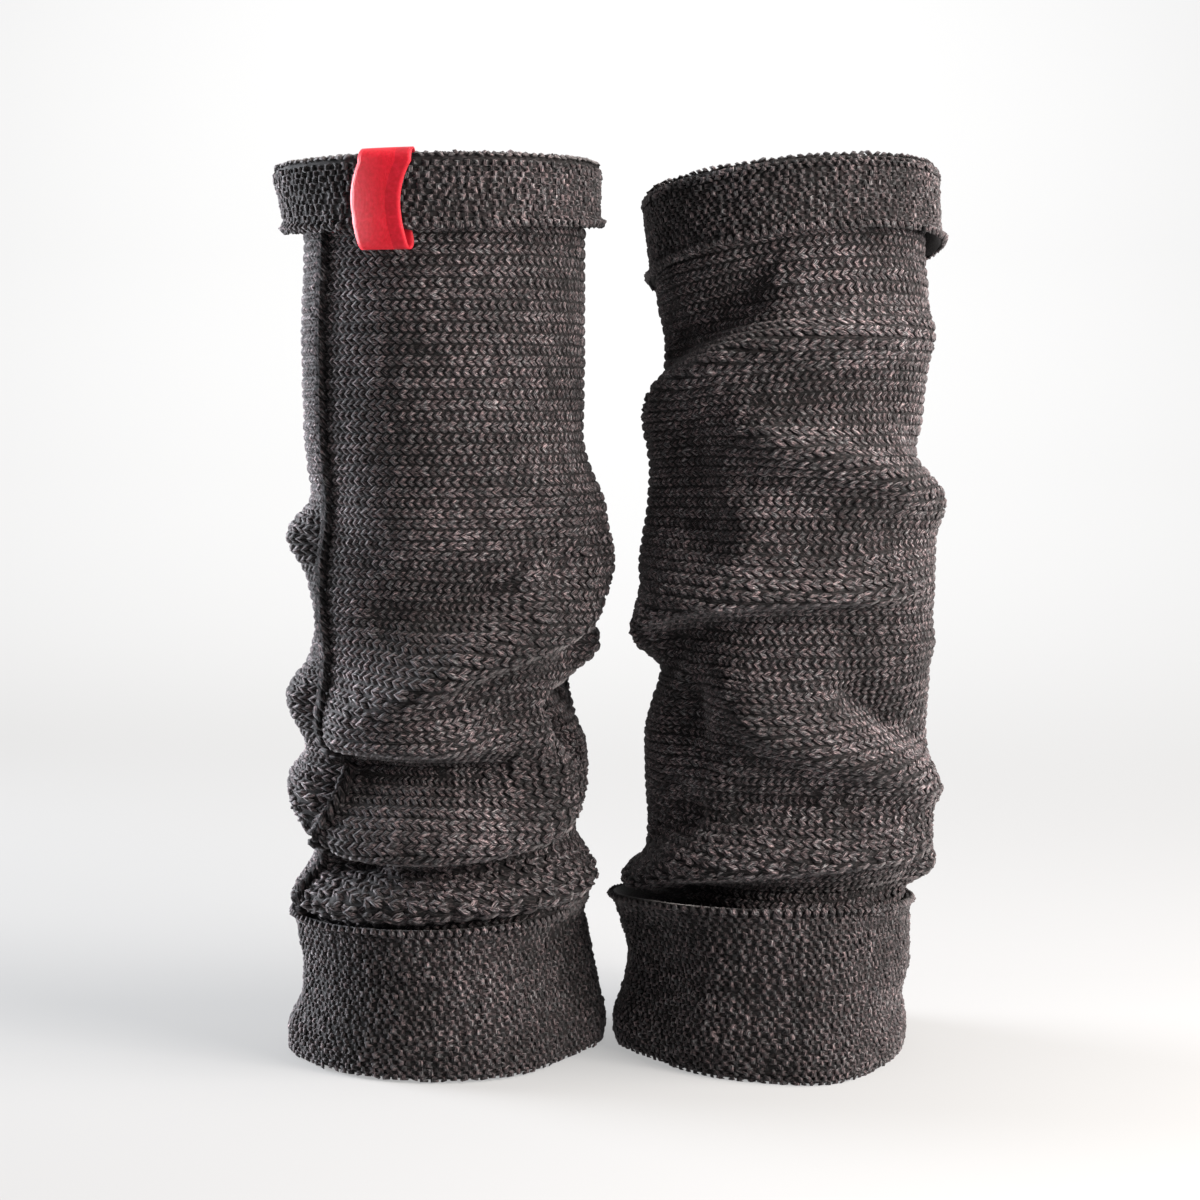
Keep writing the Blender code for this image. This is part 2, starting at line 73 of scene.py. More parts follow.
Section = namedtuple("Section", "height left right front back rise_right rise_front",
                     defaults=(0.0, 0.0))
Fold = namedtuple("Fold", "turn0 height0 turn1 height1 turn2 height2 out drop above below")
Crease = namedtuple("Crease", "turn low high out reach")

LEFT = {
    "axis": -56.0,
    "rim": Section(294.5, 57.0, 51.5, 55.0, 55.0, 1.5, 0.0),
    "top_cuff_edge": Section(274.0, 53.0, 51.0, 54.0, 54.0, 2.0, -6.0),
    "bottom_cuff_edge": Section(48.5, 51.5, 45.0, 53.0, 52.0, 3.0, 0.0),
    "bottom_cuff": [
        Section(30.0, 48.5, 48.0, 54.0, 52.0),
        Section(18.0, 49.5, 50.5, 56.0, 53.0),
        Section(8.0, 54.0, 52.5, 57.5, 54.0),
    ],
    "body": [
        Section(270.0, 47.0, 46.0, 49.0, 49.0, 2.0, 0.0),
        Section(240.0, 48.0, 46.0, 51.0, 51.0),
        Section(205.0, 47.5, 45.5, 51.0, 52.0),
        Section(180.0, 44.5, 52.0, 50.0, 52.0),
        Section(160.0, 46.5, 48.5, 48.0, 52.0),
        Section(135.0, 45.5, 44.0, 47.5, 50.0),
        Section(104.0, 45.0, 48.0, 49.5, 49.0),
        Section(72.0, 44.5, 42.5, 47.5, 48.0),
        Section(50.0, 47.0, 48.0, 47.0, 46.5),
        Section(24.0, 44.0, 46.0, 49.5, 47.5),
    ],
    "folds": {
        "side lobe, high": Fold(-118, 171, -88, 173, -58, 169, 8.5, 0.0, 8, 9),
        "big bulge": Fold(38, 178, 95, 161.5, 150, 160, 6.5, 0.0, 11.5, 11.5),
        "hollow in the bulge": Fold(38, 160, 60, 166, 78, 172, -2.5, 0.0, 8, 8),
        "dark dip over the roll": Fold(-48, 146, 0, 151, 42, 160, -5.0, 0.0, 9, 7),
        "diagonal roll": Fold(104, 155, 27, 139, -50, 118, 8.5, 4.0, 9, 6),
        "diagonal roll's end": Fold(66, 142, 92, 138, 118, 145, 7.0, 2.0, 6, 8.0),
        "side hollow": Fold(44, 114, 82, 120.0, 122, 128, -11.5, 0.0, 6, 14.5),
        "side pocket": Fold(72, 124, 66, 112, 78, 99, -4.5, 0.0, 6, 6),
        "side lobe, middle": Fold(-125, 118, -88, 119, -57, 116, 9.0, 0.0, 9, 13.5),
        "side lobe, low": Fold(-125, 91, -84, 91.5, -44, 89, 9.0, 1.0, 7, 11.5),
        "shelf": Fold(-66, 112, -22, 113, 28, 112, 7.0, 6.5, 14, 6),
        "hollow under the shelf": Fold(-64, 101, -12, 99, 62, 101, -13.0, 0.0, 5, 8),
        "low roll": Fold(-82, 88, 0, 80, 94, 95.5, 9.5, 7.5, 11, 7),
        "crease under the low roll": Fold(-70, 66, 0, 66, 86, 72, -7.0, 0.0, 4, 4),
        "dark tuck": Fold(-56, 66, -42, 66, -26, 67, -4.0, 0.0, 5, 4),
        "lowest roll, front": Fold(-132, 57, 0, 57, 136, 68.5, 8.5, 3.0, 6, 5.0),
        "behind the cuff's edge": Fold(-150, 43, 0, 44, 150, 49, -5.0, 0.0, 4, 12),
        "lowest roll, back": Fold(120, 62, 180, 60, 240, 56, 7.0, 2.0, 6, 6),
        "back roll, low": Fold(112, 92, 180, 86, 236, 88, 6.5, 6.0, 10, 7),
        "back roll, middle": Fold(108, 134, 170, 122, 232, 118, 6.5, 5.0, 11, 9),
        "back roll, high": Fold(120, 176, 175, 168, 228, 172, 4.5, 2.0, 13, 11),
        "back hollow": Fold(130, 106, 180, 104, 232, 104, -3.5, 0.0, 8, 9),
    },
    "creases": [
        Crease(96, -10, 52, 0.8, 7.0),
        Crease(56, -10, 52, -5.0, 14.0),
        Crease(-70, -10, 52, 1.2, 6.0),
    ],
    "seam_turn": [(296, -56), (270, -52), (200, -53), (150, -57), (125, -54), (108, -58), (98, -51),
                  (89, -47), (80, -54), (68, -62), (58, -64), (48, -66), (0, -70)],
}

RIGHT = {
    "axis": 57.0,
    "rim": Section(289.0, 48.0, 50.0, 55.0, 54.0, 8.0, 8.0),
    "top_cuff_edge": Section(262.5, 45.0, 51.0, 54.0, 53.0, 11.0, 15.0),
    "bottom_cuff_edge": Section(51.0, 57.5, 42.0, 53.0, 51.0, -1.0, 8.0),
    "bottom_cuff": [
        Section(30.0, 53.0, 42.0, 54.0, 51.0),
        Section(18.0, 55.0, 39.5, 56.0, 52.0),
        Section(8.0, 58.0, 41.0, 57.5, 53.0),
    ],
    "body": [
        Section(262.0, 43.5, 45.5, 49.0, 48.0, 10.0, 12.0),
        Section(236.0, 40.5, 47.0, 49.0, 49.0, 5.0, 8.0),
        Section(205.0, 43.0, 45.5, 48.0, 51.0, 2.0, 5.0),
        Section(180.0, 46.5, 47.5, 49.0, 52.0, 0.0, 3.0),
        Section(162.0, 49.0, 50.0, 49.0, 52.0, 0.0, 2.0),
        Section(130.0, 41.5, 48.5, 48.0, 51.0),
        Section(104.0, 47.0, 48.0, 48.5, 50.0),
        Section(76.0, 46.0, 44.5, 47.5, 49.0),
        Section(53.0, 39.0, 43.0, 46.0, 46.0),
        Section(24.0, 49.5, 36.0, 49.0, 47.0),
    ],
    "folds": {
        "high ridge": Fold(-104, 211.0, -22, 230, 112, 236.5, 7.5, 1.5, 6, 10),
        "dark side hollow": Fold(-95, 233.5, -50, 238, 0, 247, -6.0, 0.0, 12, 7),
        "left shoulder": Fold(-130, 211, -88, 210.0, -52, 212, 4.0, 0.0, 9, 14.5),
        "second ridge": Fold(-40, 212, 30, 195, 120, 177.5, 8.0, 2.0, 7, 11),
        "right dip": Fold(40, 209, 84, 198, 125, 203, -2.5, 0.0, 8, 9.0),
        "left hollow": Fold(-84, 183.5, -50, 175, -18, 164, -5.0, 0.0, 14, 11),
        "middle ridge": Fold(-106, 132.5, -28, 157, 84, 153, 8.0, 4.5, 8, 5),
        "middle ridge's end": Fold(-116, 141, -90, 136.5, -66, 144, 7.0, 1.0, 7, 6.5),
        "line under it": Fold(-84, 136, -28, 145, 56, 144, -5.0, 0.0, 4, 8),
        "left notch": Fold(-125, 127, -88, 133.0, -52, 130, -1.5, 0.0, 6, 8),
        "soft ridge": Fold(-40, 134, 15, 109, 118, 80.5, 8.0, 2.5, 9, 10),
        "hollow beside it": Fold(10, 134, 46, 114, 94, 103, -6.5, 0.0, 10, 7),
        "low left hollow": Fold(-66, 122, -48, 108, -34, 94, -5.0, 0.0, 11, 11),
        "hollow over the low roll": Fold(-98, 67.0, -35, 83, 48, 90, -7.0, 0.0, 9, 5),
        "low roll": Fold(-128, 51.5, -8, 75, 122, 71, 8.5, 6.5, 9, 7),
        "low roll's right end": Fold(66, 68, 94, 63.5, 122, 68, 7.0, 2.0, 7.0, 6.5),
        "low roll's left end": Fold(-134, 59, -90, 59.5, -50, 62, 12.5, 1.0, 5.0, 6.5),
        "tuck under the low roll": Fold(-112, 58.0, 0, 58, 118, 51.0, -7.0, 0.0, 5, 12),
        "back low roll": Fold(106, 78, 180, 70, 248, 67, 7.0, 5.0, 9, 7),
        "back roll, low": Fold(116, 112, 180, 104, 244, 106, 6.0, 5.0, 11, 9),
        "back roll, middle": Fold(112, 150, 185, 146, 250, 142, 6.0, 4.0, 11, 9),
        "back roll, high": Fold(118, 200, 180, 192, 244, 198, 5.0, 2.0, 13, 11),
        "back hollow": Fold(120, 128, 180, 126, 240, 124, -3.5, 0.0, 8, 9),
    },
    "creases": [
        Crease(12, -10, 54, 4.0, 12.0),
        Crease(-56, -10, 54, -5.5, 14.0),
        Crease(56, -10, 54, -1.0, 10.0),
        Crease(100, -10, 54, 1.5, 9.0),
    ],
    "seam_turn": [(296, 180), (230, 177), (160, 182), (110, 176), (70, 184), (0, 180)],
}


def ease(t):
    """A smooth step from 0 to 1."""
    t = np.clip(t, 0.0, 1.0)
    return t * t * (3.0 - 2.0 * t)


def smooth_through(places, values, at):
    """A curve through the table's values that never overshoots them."""
    x, y = np.asarray(places, float), np.asarray(values, float)
    if x[0] > x[-1]:
        x, y = x[::-1], y[::-1]
    step, rise = np.diff(x), np.diff(y)
    slope = rise / step
    tangent = np.zeros(len(x))
    for i in range(1, len(x) - 1):
        if slope[i - 1] * slope[i] > 0:
            w0, w1 = 2 * step[i] + step[i - 1], step[i] + 2 * step[i - 1]
            tangent[i] = (w0 + w1) / (w0 / slope[i - 1] + w1 / slope[i])
    at = np.clip(np.asarray(at, float), x[0], x[-1])
    i = np.clip(np.searchsorted(x, at, side="right") - 1, 0, len(x) - 2)
    t = (at - x[i]) / step[i]
    start, end = tangent[i] * step[i], tangent[i + 1] * step[i]
    return (y[i] + t * start + t * t * (3 * rise[i] - 2 * start - end)
            + t ** 3 * (start + end - 2 * rise[i]))


def section_at(table, height):
    """The ring's sizes at a height between the table's rows."""
    rows = sorted(table, key=lambda row: row.height)
    heights = [row.height for row in rows]
    return Section(height, *[smooth_through(heights, [row[i] for row in rows], height)
                             for i in range(1, 7)])


def mix(a, b, t):
    """A ring between two rings."""
    return Section(*[x + (y - x) * t for x, y in zip(a, b)])


def narrower(section, inset):
    """A ring with its wall moved in."""
    return section._replace(left=section.left - inset, right=section.right - inset,
                            front=section.front - inset, back=section.back - inset)


def ring(leg, section, turn, out=0.0, drop=0.0):
    """Points of a section at the given turns, pushed out and let down."""
    angle = np.radians(turn)
    s, c = np.sin(angle), np.cos(angle)
    across = np.where(s < 0, section.left, section.right)
    along = np.where(c > 0, section.front, section.back)
    x = leg["axis"] + s * (across + out)
    y = -c * (along + out)
    z = section.height + 0.5 * section.rise_right * s + 0.5 * section.rise_front * c - drop
    return np.stack(np.broadcast_arrays(x, y, z), axis=-1)


def fold_profile(fold, turn, height):
    """How strongly a fold acts at each place: 1 on its crest, 0 well away from it."""
    per_degree = math.radians(BODY_RADIUS)
    beside = (fold.above + fold.below) / 2
    turn = (turn - fold.turn1 + 180.0) % 360.0 + fold.turn1 - 180.0
    nearest = np.full(np.broadcast(turn, height).shape, np.inf)
    profile = np.zeros_like(nearest)
    for t in np.linspace(0.0, 1.0, 33):
        a, b, c = (1 - t) * (1 - 2 * t), 4 * t * (1 - t), t * (2 * t - 1)
        along = (a * fold.turn0 + b * fold.turn1 + c * fold.turn2 - turn) * per_degree
        lift = height - (a * fold.height0 + b * fold.height1 + c * fold.height2)
        away = (lift / np.where(lift > 0, fold.above, fold.below)) ** 2 + (along / beside) ** 2
        profile = np.where(away < nearest, np.exp(-away) * ease(min(t, 1 - t) / FOLD_FADE), profile)
        nearest = np.minimum(nearest, away)
    return profile


def creased(leg, turn, height):
    """How far the bottom cuff's upright creases push the cloth out."""
    out = 0.0
    for crease in leg["creases"]:
        away = (turn - crease.turn + 180.0) % 360.0 - 180.0
        upright = ease((crease.high - height) / CREASE_FADE)
        out = out + crease.out * np.exp(-(away / (crease.reach * 1.6)) ** 2) * upright
    return out


def top_cuff_section(leg, t):
    bend_start = leg["rim"]._replace(height=leg["rim"].height - WALL / 2 - RIM_BEND)
    return narrower(mix(leg["top_cuff_edge"], bend_start, t), WALL / 2)


def bottom_cuff_section(leg, height):
    return narrower(section_at(leg["bottom_cuff"] + [leg["bottom_cuff_edge"]], height), WALL / 2)


def body_section(leg, height):
    free = narrower(section_at(leg["body"], height), WALL / 2)
    rim_start = top_cuff_section(leg, 1.0)
    near_rim = ease(1.0 - (rim_start.height - height) / SETTLE)
    inside_floor = narrower(bottom_cuff_section(leg, LAST_RISE), 2 * FLOOR_BEND)
    near_floor = ease(1.0 - (height - LAST_RISE) / SETTLE)
    body = mix(mix(free, narrower(rim_start, 2 * RIM_BEND), near_rim), inside_floor, near_floor)
    return body._replace(height=height)


def curl(distance):
    """How far a cuff rolls outwards at this distance from its free edge."""
    return EDGE_CURL * ease(1.0 - distance / EDGE_CURL_LENGTH)


def cuff_depth(leg):
    return top_cuff_section(leg, 1.0).height - leg["top_cuff_edge"].height


def seam_turn(leg, height):
    """The turn at which the long seam lies, where each row starts."""
    places, turns = zip(*leg["seam_turn"])
    return smooth_through(places, turns, height)


def top_cuff_rows(leg, t, turn):
    return ring(leg, top_cuff_section(leg, t), turn, curl(t * cuff_depth(leg)))


def rim_rows(leg, angle, turn):
    start = top_cuff_section(leg, 1.0)
    section = narrower(start, RIM_BEND * (1 - np.cos(angle)))
    return ring(leg, section._replace(height=start.height + RIM_BEND * np.sin(angle)), turn)


def body_rows(leg, height, turn):
    out, drop = creased(leg, turn, height), 0.0
    for fold in [*leg["folds"].values(), *leg["soft_folds"].values()]:
        profile = fold_profile(fold, turn, height)
        out = out + fold.out * profile
        drop = drop + fold.drop * profile
    return ring(leg, body_section(leg, height), turn, out, drop)


def floor_rows(leg, angle, turn):
    section = narrower(bottom_cuff_section(leg, LAST_RISE), FLOOR_BEND * (1 + np.cos(angle)))
    section = section._replace(height=LAST_RISE - FLOOR_BEND * np.sin(angle))
    return ring(leg, section, turn, creased(leg, turn, LAST_RISE))


def bottom_cuff_rows(leg, height, turn):
    edge = leg["bottom_cuff_edge"]
    share = (height / edge.height) ** 2
    section = bottom_cuff_section(leg, height)._replace(
        height=height, rise_right=edge.rise_right * share, rise_front=edge.rise_front * share)
    return ring(leg, section, turn, curl(edge.height - height) + creased(leg, turn, height))


# Shallow creases that the big folds leave between them, on the hidden sides too
LEFT["soft_folds"] = {
    "fan from the bulge, high": Fold(30, 192, 62, 186, 98, 184, 1.4, 0.0, 4, 6),
    "fan from the bulge, low": Fold(16, 170, 50, 171, 84, 178, -1.3, 0.0, 4, 4),
    "drag across the front": Fold(-50, 186, -18, 178, 22, 172, 1.3, 0.0, 6, 7),
    "drag below it": Fold(-46, 166, -16, 164, 18, 166, -1.2, 0.0, 5, 5),
    "dip over the roll": Fold(-14, 148, 12, 152, 36, 163, -4.2, 0.0, 5, 6),
    "roll's upper edge": Fold(78, 163, 29, 147, -30, 118, 4.0, 0.0, 4, 5),
    "roll's lower edge": Fold(64, 141, 36, 130, 6, 118, 2.0, 0.0, 4, 4),
    "slope crease": Fold(10, 121, 40, 116, 66, 120, -2.2, 0.0, 4, 4),
    "under the shelf": Fold(-42, 97, 0, 96, 50, 98, -3.2, 0.0, 5, 6),
    "roll's split": Fold(-40, 77, -5, 72, 44, 75, -1.3, 0.0, 2.5, 2.5),
    "tuck, deeper": Fold(-58, 68, -42, 68, -20, 69, -4.0, 0.0, 5, 4),
    "crease over the cuff": Fold(-10, 52, 30, 52, 62, 55, -2.5, 0.0, 3, 4),
    "back crease, high": Fold(140, 214, 178, 205, 226, 212, -1.6, 0.0, 6, 6),
    "back crease, middle": Fold(128, 150, 168, 147, 222, 143, -1.8, 0.0, 5, 5),
    "left side crease": Fold(-130, 147, -98, 144, -66, 146, -2.0, 0.0, 7, 6),
}
RIGHT["soft_folds"] = {
    "dark dip under the cuff": Fold(-62, 244, -32, 249, 0, 256, -3.5, 0.0, 9, 8),
    "fan over the high ridge": Fold(0, 244, 44, 249, 92, 249, 1.2, 0.0, 4, 5),
    "high ridge's crest": Fold(-52, 223, -8, 234, 52, 231, 3.4, 0.0, 4, 5),
    "between the ridges": Fold(-30, 220, 20, 214, 70, 212, -2.4, 0.0, 6, 6),
    "left hollow, upright": Fold(-54, 214, -46, 190, -42, 165, -4.0, 0.0, 10, 10),
    "second ridge's crest": Fold(-28, 206, 9, 199, 62, 183, 4.4, 0.0, 4, 5),
    "second ridge's shadow": Fold(-34, 192, -8, 186, 26, 178, -3.4, 0.0, 6, 7),
    "middle ridge's crest": Fold(-52, 151, -8, 155, 56, 163, 3.2, 0.0, 4, 4),
    "over the middle ridge": Fold(-20, 168, 20, 172, 66, 176, -1.8, 0.0, 5, 5),
    "low left hollow, upright": Fold(-58, 128, -50, 116, -44, 104, -3.4, 0.0, 9, 9),
    "soft ridge's crest": Fold(-26, 121, 2, 108, 56, 96, 4.2, 0.0, 4, 5),
    "hollow over the soft ridge": Fold(12, 127, 36, 117, 64, 108, -3.4, 0.0, 7, 7),
    "right fan": Fold(36, 140, 70, 136, 108, 140, 1.5, 0.0, 5, 5),
    "braids over the low roll": Fold(36, 92, 74, 90, 112, 92, 1.5, 0.0, 3, 3),
    "dip over the low roll": Fold(-36, 93, -10, 88, 18, 90, -3.2, 0.0, 5, 5),
    "dip at the low left": Fold(-68, 93, -54, 86, -42, 80, -4.0, 0.0, 8, 7),
    "back crease, high": Fold(136, 226, 180, 218, 226, 224, -1.8, 0.0, 7, 6),
    "back crease, middle": Fold(132, 174, 176, 169, 230, 172, -1.8, 0.0, 6, 6),
    "back crease, low": Fold(130, 92, 178, 88, 232, 86, -1.8, 0.0, 5, 5),
}

Cloth = namedtuple("Cloth", "points out zone height")
TOP_CUFF, RIM, BODY, FLOOR, BOTTOM_CUFF = range(5)


def unit(vectors):
    return vectors / np.linalg.norm(vectors, axis=-1, keepdims=True)


def run_length(points):
    """Distance from the start along a line of points, or along each column of a grid."""
    step = np.linalg.norm(np.diff(points, axis=0), axis=-1)
    return np.concatenate([np.zeros((1, *step.shape[1:])), np.cumsum(step, axis=0)])


def knitted_cloth(leg):
    """The cloth's middle at every half row and half stitch, with its zone and its knit side."""
    around = np.arange(2 * STITCHES_ROUND) * 180.0 / STITCHES_ROUND
    top, edge = leg["rim"].height, leg["bottom_cuff_edge"].height
    down = np.arange(top_cuff_section(leg, 1.0).height - FINE_STEP, LAST_RISE + FINE_STEP / 2,
                     -FINE_STEP)[:, None]
    t = np.linspace(0.0, 1.0, 32)[:, None]
    bend = np.linspace(0.0, math.pi, 14)[1:-1, None]
    up = np.linspace(LAST_RISE, edge, 60)[:, None]
    zones = [
        (TOP_CUFF, t, top_cuff_rows(leg, t, around + seam_turn(leg, top - SEAM_ON_CUFF * (1 - t)))),
        (RIM, bend, rim_rows(leg, bend, around + seam_turn(leg, top))),
        (BODY, down, body_rows(leg, down, around + seam_turn(leg, down))),
        (FLOOR, bend, floor_rows(leg, bend, around + seam_turn(leg, 0.0))),
        (BOTTOM_CUFF, up, bottom_cuff_rows(leg, up, around + seam_turn(leg, up)))]
    fine = np.concatenate([rows for _, _, rows in zones])
    zone = np.concatenate([np.full(len(at), kind) for kind, at, _ in zones])
    height = np.concatenate([np.ravel(at) for _, at, _ in zones])
    # rows follow the cloth's length, and a fold's extra length is shared with the rows beside it
    length = run_length(fine)
    pitch = np.where(zone == BODY, BODY_ROW, CUFF_ROW)[1:]
    row = np.concatenate([[0.0], np.cumsum(np.diff(length.mean(axis=1)) / pitch)])
    rows = int(round(row[-1]))
    half_rows = np.arange(2 * rows + 1) * row[-1] / (2 * rows)
    at = np.interp(half_rows, row, np.arange(len(fine)))
    count = np.arange(len(fine))
    plain = np.array([np.interp(at, count, column) for column in length.T]).T
    spacing = np.diff(plain, axis=0)
    mean = spacing.mean(axis=1, keepdims=True)
    reach = 3 * SHARING_ROWS
    kernel = np.exp(-(np.arange(-reach, reach + 1) / SHARING_ROWS) ** 2)
    kernel = kernel / kernel.sum()
    padded = np.pad(spacing / mean, ((reach, reach), (0, 0)), mode="edge")
    share = np.array([np.convolve(column, kernel, mode="valid") for column in padded.T]).T
    shared = np.concatenate([np.zeros((1, len(around))), np.cumsum(share * mean, axis=0)])
    shared = shared * length[-1] / shared[-1]
    points = np.zeros((len(shared), len(around), 3))
    for c in range(len(around)):
        where = np.interp(shared[:, c], length[:, c], count)
        for i in range(3):
            points[:, c, i] = np.interp(where, count, fine[:, c, i])
    across = np.roll(points, -1, axis=1) - np.roll(points, 1, axis=1)
    out = unit(np.cross(np.gradient(points, axis=0), across))
    nearest = np.clip(np.round(at).astype(int), 0, len(fine) - 1)
    return Cloth(points, out, zone[nearest], height[nearest])


def linear(colour):
    """A colour like #3f3d3f as linear red, green, blue and alpha."""
    parts = [int(colour[i:i + 2], 16) / 255 for i in (1, 3, 5)]
    return (*[p / 12.92 if p <= 0.04045 else ((p + 0.055) / 1.055) ** 2.4 for p in parts], 1.0)


def add(tree, kind, sockets=None, stops=(), **settings):
    """Adds a node with its settings and colour stops, and sets or links its sockets."""
    node = tree.nodes.new(kind)
    for name, value in settings.items():
        setattr(node, name, value)
    for name, value in (sockets or {}).items():
        if isinstance(value, bpy.types.NodeSocket):
            tree.links.new(value, node.inputs[name])
        else:
            node.inputs[name].default_value = value
    for _ in stops[2:]:
        node.color_ramp.elements.new(0.5)
    for i, (place, colour) in enumerate(stops):
        node.color_ramp.elements[i].position = place
        node.color_ramp.elements[i].color = linear(colour)
    return node


def new_material(name, roughness, specular, sheen=0.0):
    """A material with its node tree and its shader, whose plain gloss is set."""
    made = bpy.data.materials.new(name)
    made.use_nodes = True
    shader = made.node_tree.nodes["Principled BSDF"]
    shader.inputs["Roughness"].default_value = roughness
    shader.inputs["Specular IOR Level"].default_value = specular
    shader.inputs["Sheen Weight"].default_value = sheen
    return made, made.node_tree, shader


FIBRES_APART = 0.35           # locks of fibres, coarser than single fibres so that they show
FIBRE_RELIEF = 0.3
TUFT = 1.4                    # a tuft of fibres of like colour
DYE_LOT = 30                  # slow changes of the whole yarn's shade


def wool(name, shade, nap="#6a6868"):
    """Charcoal heather: carded wool blend spun from black, grey and undyed fibres, matt and hairy.

    The eye reads single pale fibres in a dark yarn and tones that change from loop to loop. A nap of
    fuzz lies over the stitches and follows the cloth, not each loop, and shows pale edge on.
    """
    made, tree, shader = new_material(name, roughness=0.9, specular=0.2, sheen=0.05)
    place = add(tree, "ShaderNodeTexCoord").outputs["Object"]
    strand = add(tree, "ShaderNodeAttribute", attribute_name="strand")
    tone = add(tree, "ShaderNodeAttribute", attribute_name="tone")
    depth = add(tree, "ShaderNodeAttribute", attribute_name="depth")
    # fibres lie along the yarn, four times as long as they are apart, and differ from loop to loop
    fibres = add(tree, "ShaderNodeVectorMath", {0: strand.outputs["Vector"], 1: (0.25, 1.0, 1.0)},
                 operation="MULTIPLY")
    fibres = add(tree, "ShaderNodeVectorMath", {0: fibres.outputs[0], 1: tone.outputs["Fac"]})
    fibre = add(tree, "ShaderNodeTexNoise", {
        "Vector": fibres.outputs[0], "Scale": 1 / (FIBRES_APART * MM), "Detail": 2.0,
        "Roughness": 0.6, "Distortion": 0.5})
    tuft = add(tree, "ShaderNodeTexNoise", {"Vector": place, "Scale": 1 / (TUFT * MM), "Detail": 2.0})
    lot = add(tree, "ShaderNodeTexNoise", {"Vector": place, "Scale": 1 / (DYE_LOT * MM), "Detail": 1.0})
    greys = add(tree, "ShaderNodeValToRGB", {"Fac": fibre.outputs["Fac"]}, stops=[
        (0.36, "#151415"), (0.45, "#2c2a2b"), (0.52, "#4b4849"), (0.59, "#757070"), (0.67, "#989290")])
    hue = add(tree, "ShaderNodeValToRGB", {"Fac": tuft.outputs["Fac"]}, stops=[
        (0.38, "#8c9092"), (0.5, "#968f92"), (0.62, "#9d8e90")])
    tinted = add(tree, "ShaderNodeMix", {
        "Factor": 1.0, "A": greys.outputs["Color"], "B": hue.outputs["Color"]},
        data_type="RGBA", blend_type="MULTIPLY")
    level = add(tree, "ShaderNodeMapRange", {
        "Value": tone.outputs["Fac"], "To Min": 1.3 * shade, "To Max": 2.7 * shade})
    level = add(tree, "ShaderNodeMath", {0: level.outputs["Result"], 1: lot.outputs["Fac"]},
                operation="MULTIPLY")
    # painted shade: a yarn is coloured darker the lower it lies in its loop, where it dips under the
    # loops beside it
    dip = add(tree, "ShaderNodeMapRange", {
        "Value": depth.outputs["Fac"], "From Min": -0.5, "From Max": 1.1, "To Min": 1.0, "To Max": 2.7})
    level = add(tree, "ShaderNodeMath", {0: level.outputs[0], 1: dip.outputs["Result"]},
                operation="MULTIPLY")
    colour = add(tree, "ShaderNodeVectorMath", {
        0: tinted.outputs["Result"], "Scale": level.outputs[0]}, operation="SCALE")
    tree.links.new(colour.outputs[0], shader.inputs["Base Color"])
    relief = add(tree, "ShaderNodeBump", {
        "Height": fibre.outputs["Fac"], "Strength": 0.7, "Distance": FIBRE_RELIEF * MM})
    tree.links.new(relief.outputs["Normal"], shader.inputs["Normal"])
    cloth_side = add(tree, "ShaderNodeAttribute", attribute_name="out")
    cloth_side = add(tree, "ShaderNodeVectorTransform", {"Vector": cloth_side.outputs["Vector"]},
                     vector_type="NORMAL", convert_from="OBJECT", convert_to="WORLD")
    fuzz = add(tree, "ShaderNodeBsdfSheen", {
        "Color": linear(nap), "Roughness": 0.4, "Normal": cloth_side.outputs[0]})
    both = add(tree, "ShaderNodeAddShader", {0: shader.outputs[0], 1: fuzz.outputs[0]})
    tree.links.new(both.outputs[0], tree.nodes["Material Output"].inputs["Surface"])
    return made


def grid_faces(rows, columns, closed):
    """Four-sided faces over a grid of points; a closed one joins its last column to its first."""
    steps = np.arange(columns if closed else columns - 1)
    r, c = np.meshgrid(np.arange(rows - 1), steps, indexing="ij")
    after = (c + 1) % columns
    return np.stack([r * columns + c, r * columns + after,
                     (r + 1) * columns + after, (r + 1) * columns + c], axis=-1).reshape(-1, 4)


def in_metres(points):
    """Points in metres, from the pair's middle."""
    return (np.reshape(points, (-1, 3)) - (*PAIR_CENTRE, 0.0)) * MM


def placed(name, data):
    """A new object in the scene, at the origin."""
    made = bpy.data.objects.new(name, data)
    bpy.context.scene.collection.objects.link(made)
    return made


def store(mesh, name, values):
    """Keeps a vector, or a number, for each point of a mesh."""
    values = np.asarray(values, np.float32)
    kind, field = ("FLOAT", "value") if values.ndim == 1 else ("FLOAT_VECTOR", "vector")
    mesh.attributes.new(name, kind, "POINT").data.foreach_set(field, values.reshape(-1))


def walled(name, grid, closed, thickness, look):
    """A grid of points as a smooth sheet with a Solidify wall, centred on its points."""
    mesh = bpy.data.meshes.new(name)
    mesh.from_pydata(in_metres(grid).tolist(), [], grid_faces(*grid.shape[:2], closed).tolist())
    mesh.materials.append(look)
    mesh.shade_smooth()
    made = placed(name, mesh)
    wall = made.modifiers.new("wall", "SOLIDIFY")
    wall.thickness = thickness * MM
    wall.offset = 0.0
    return made


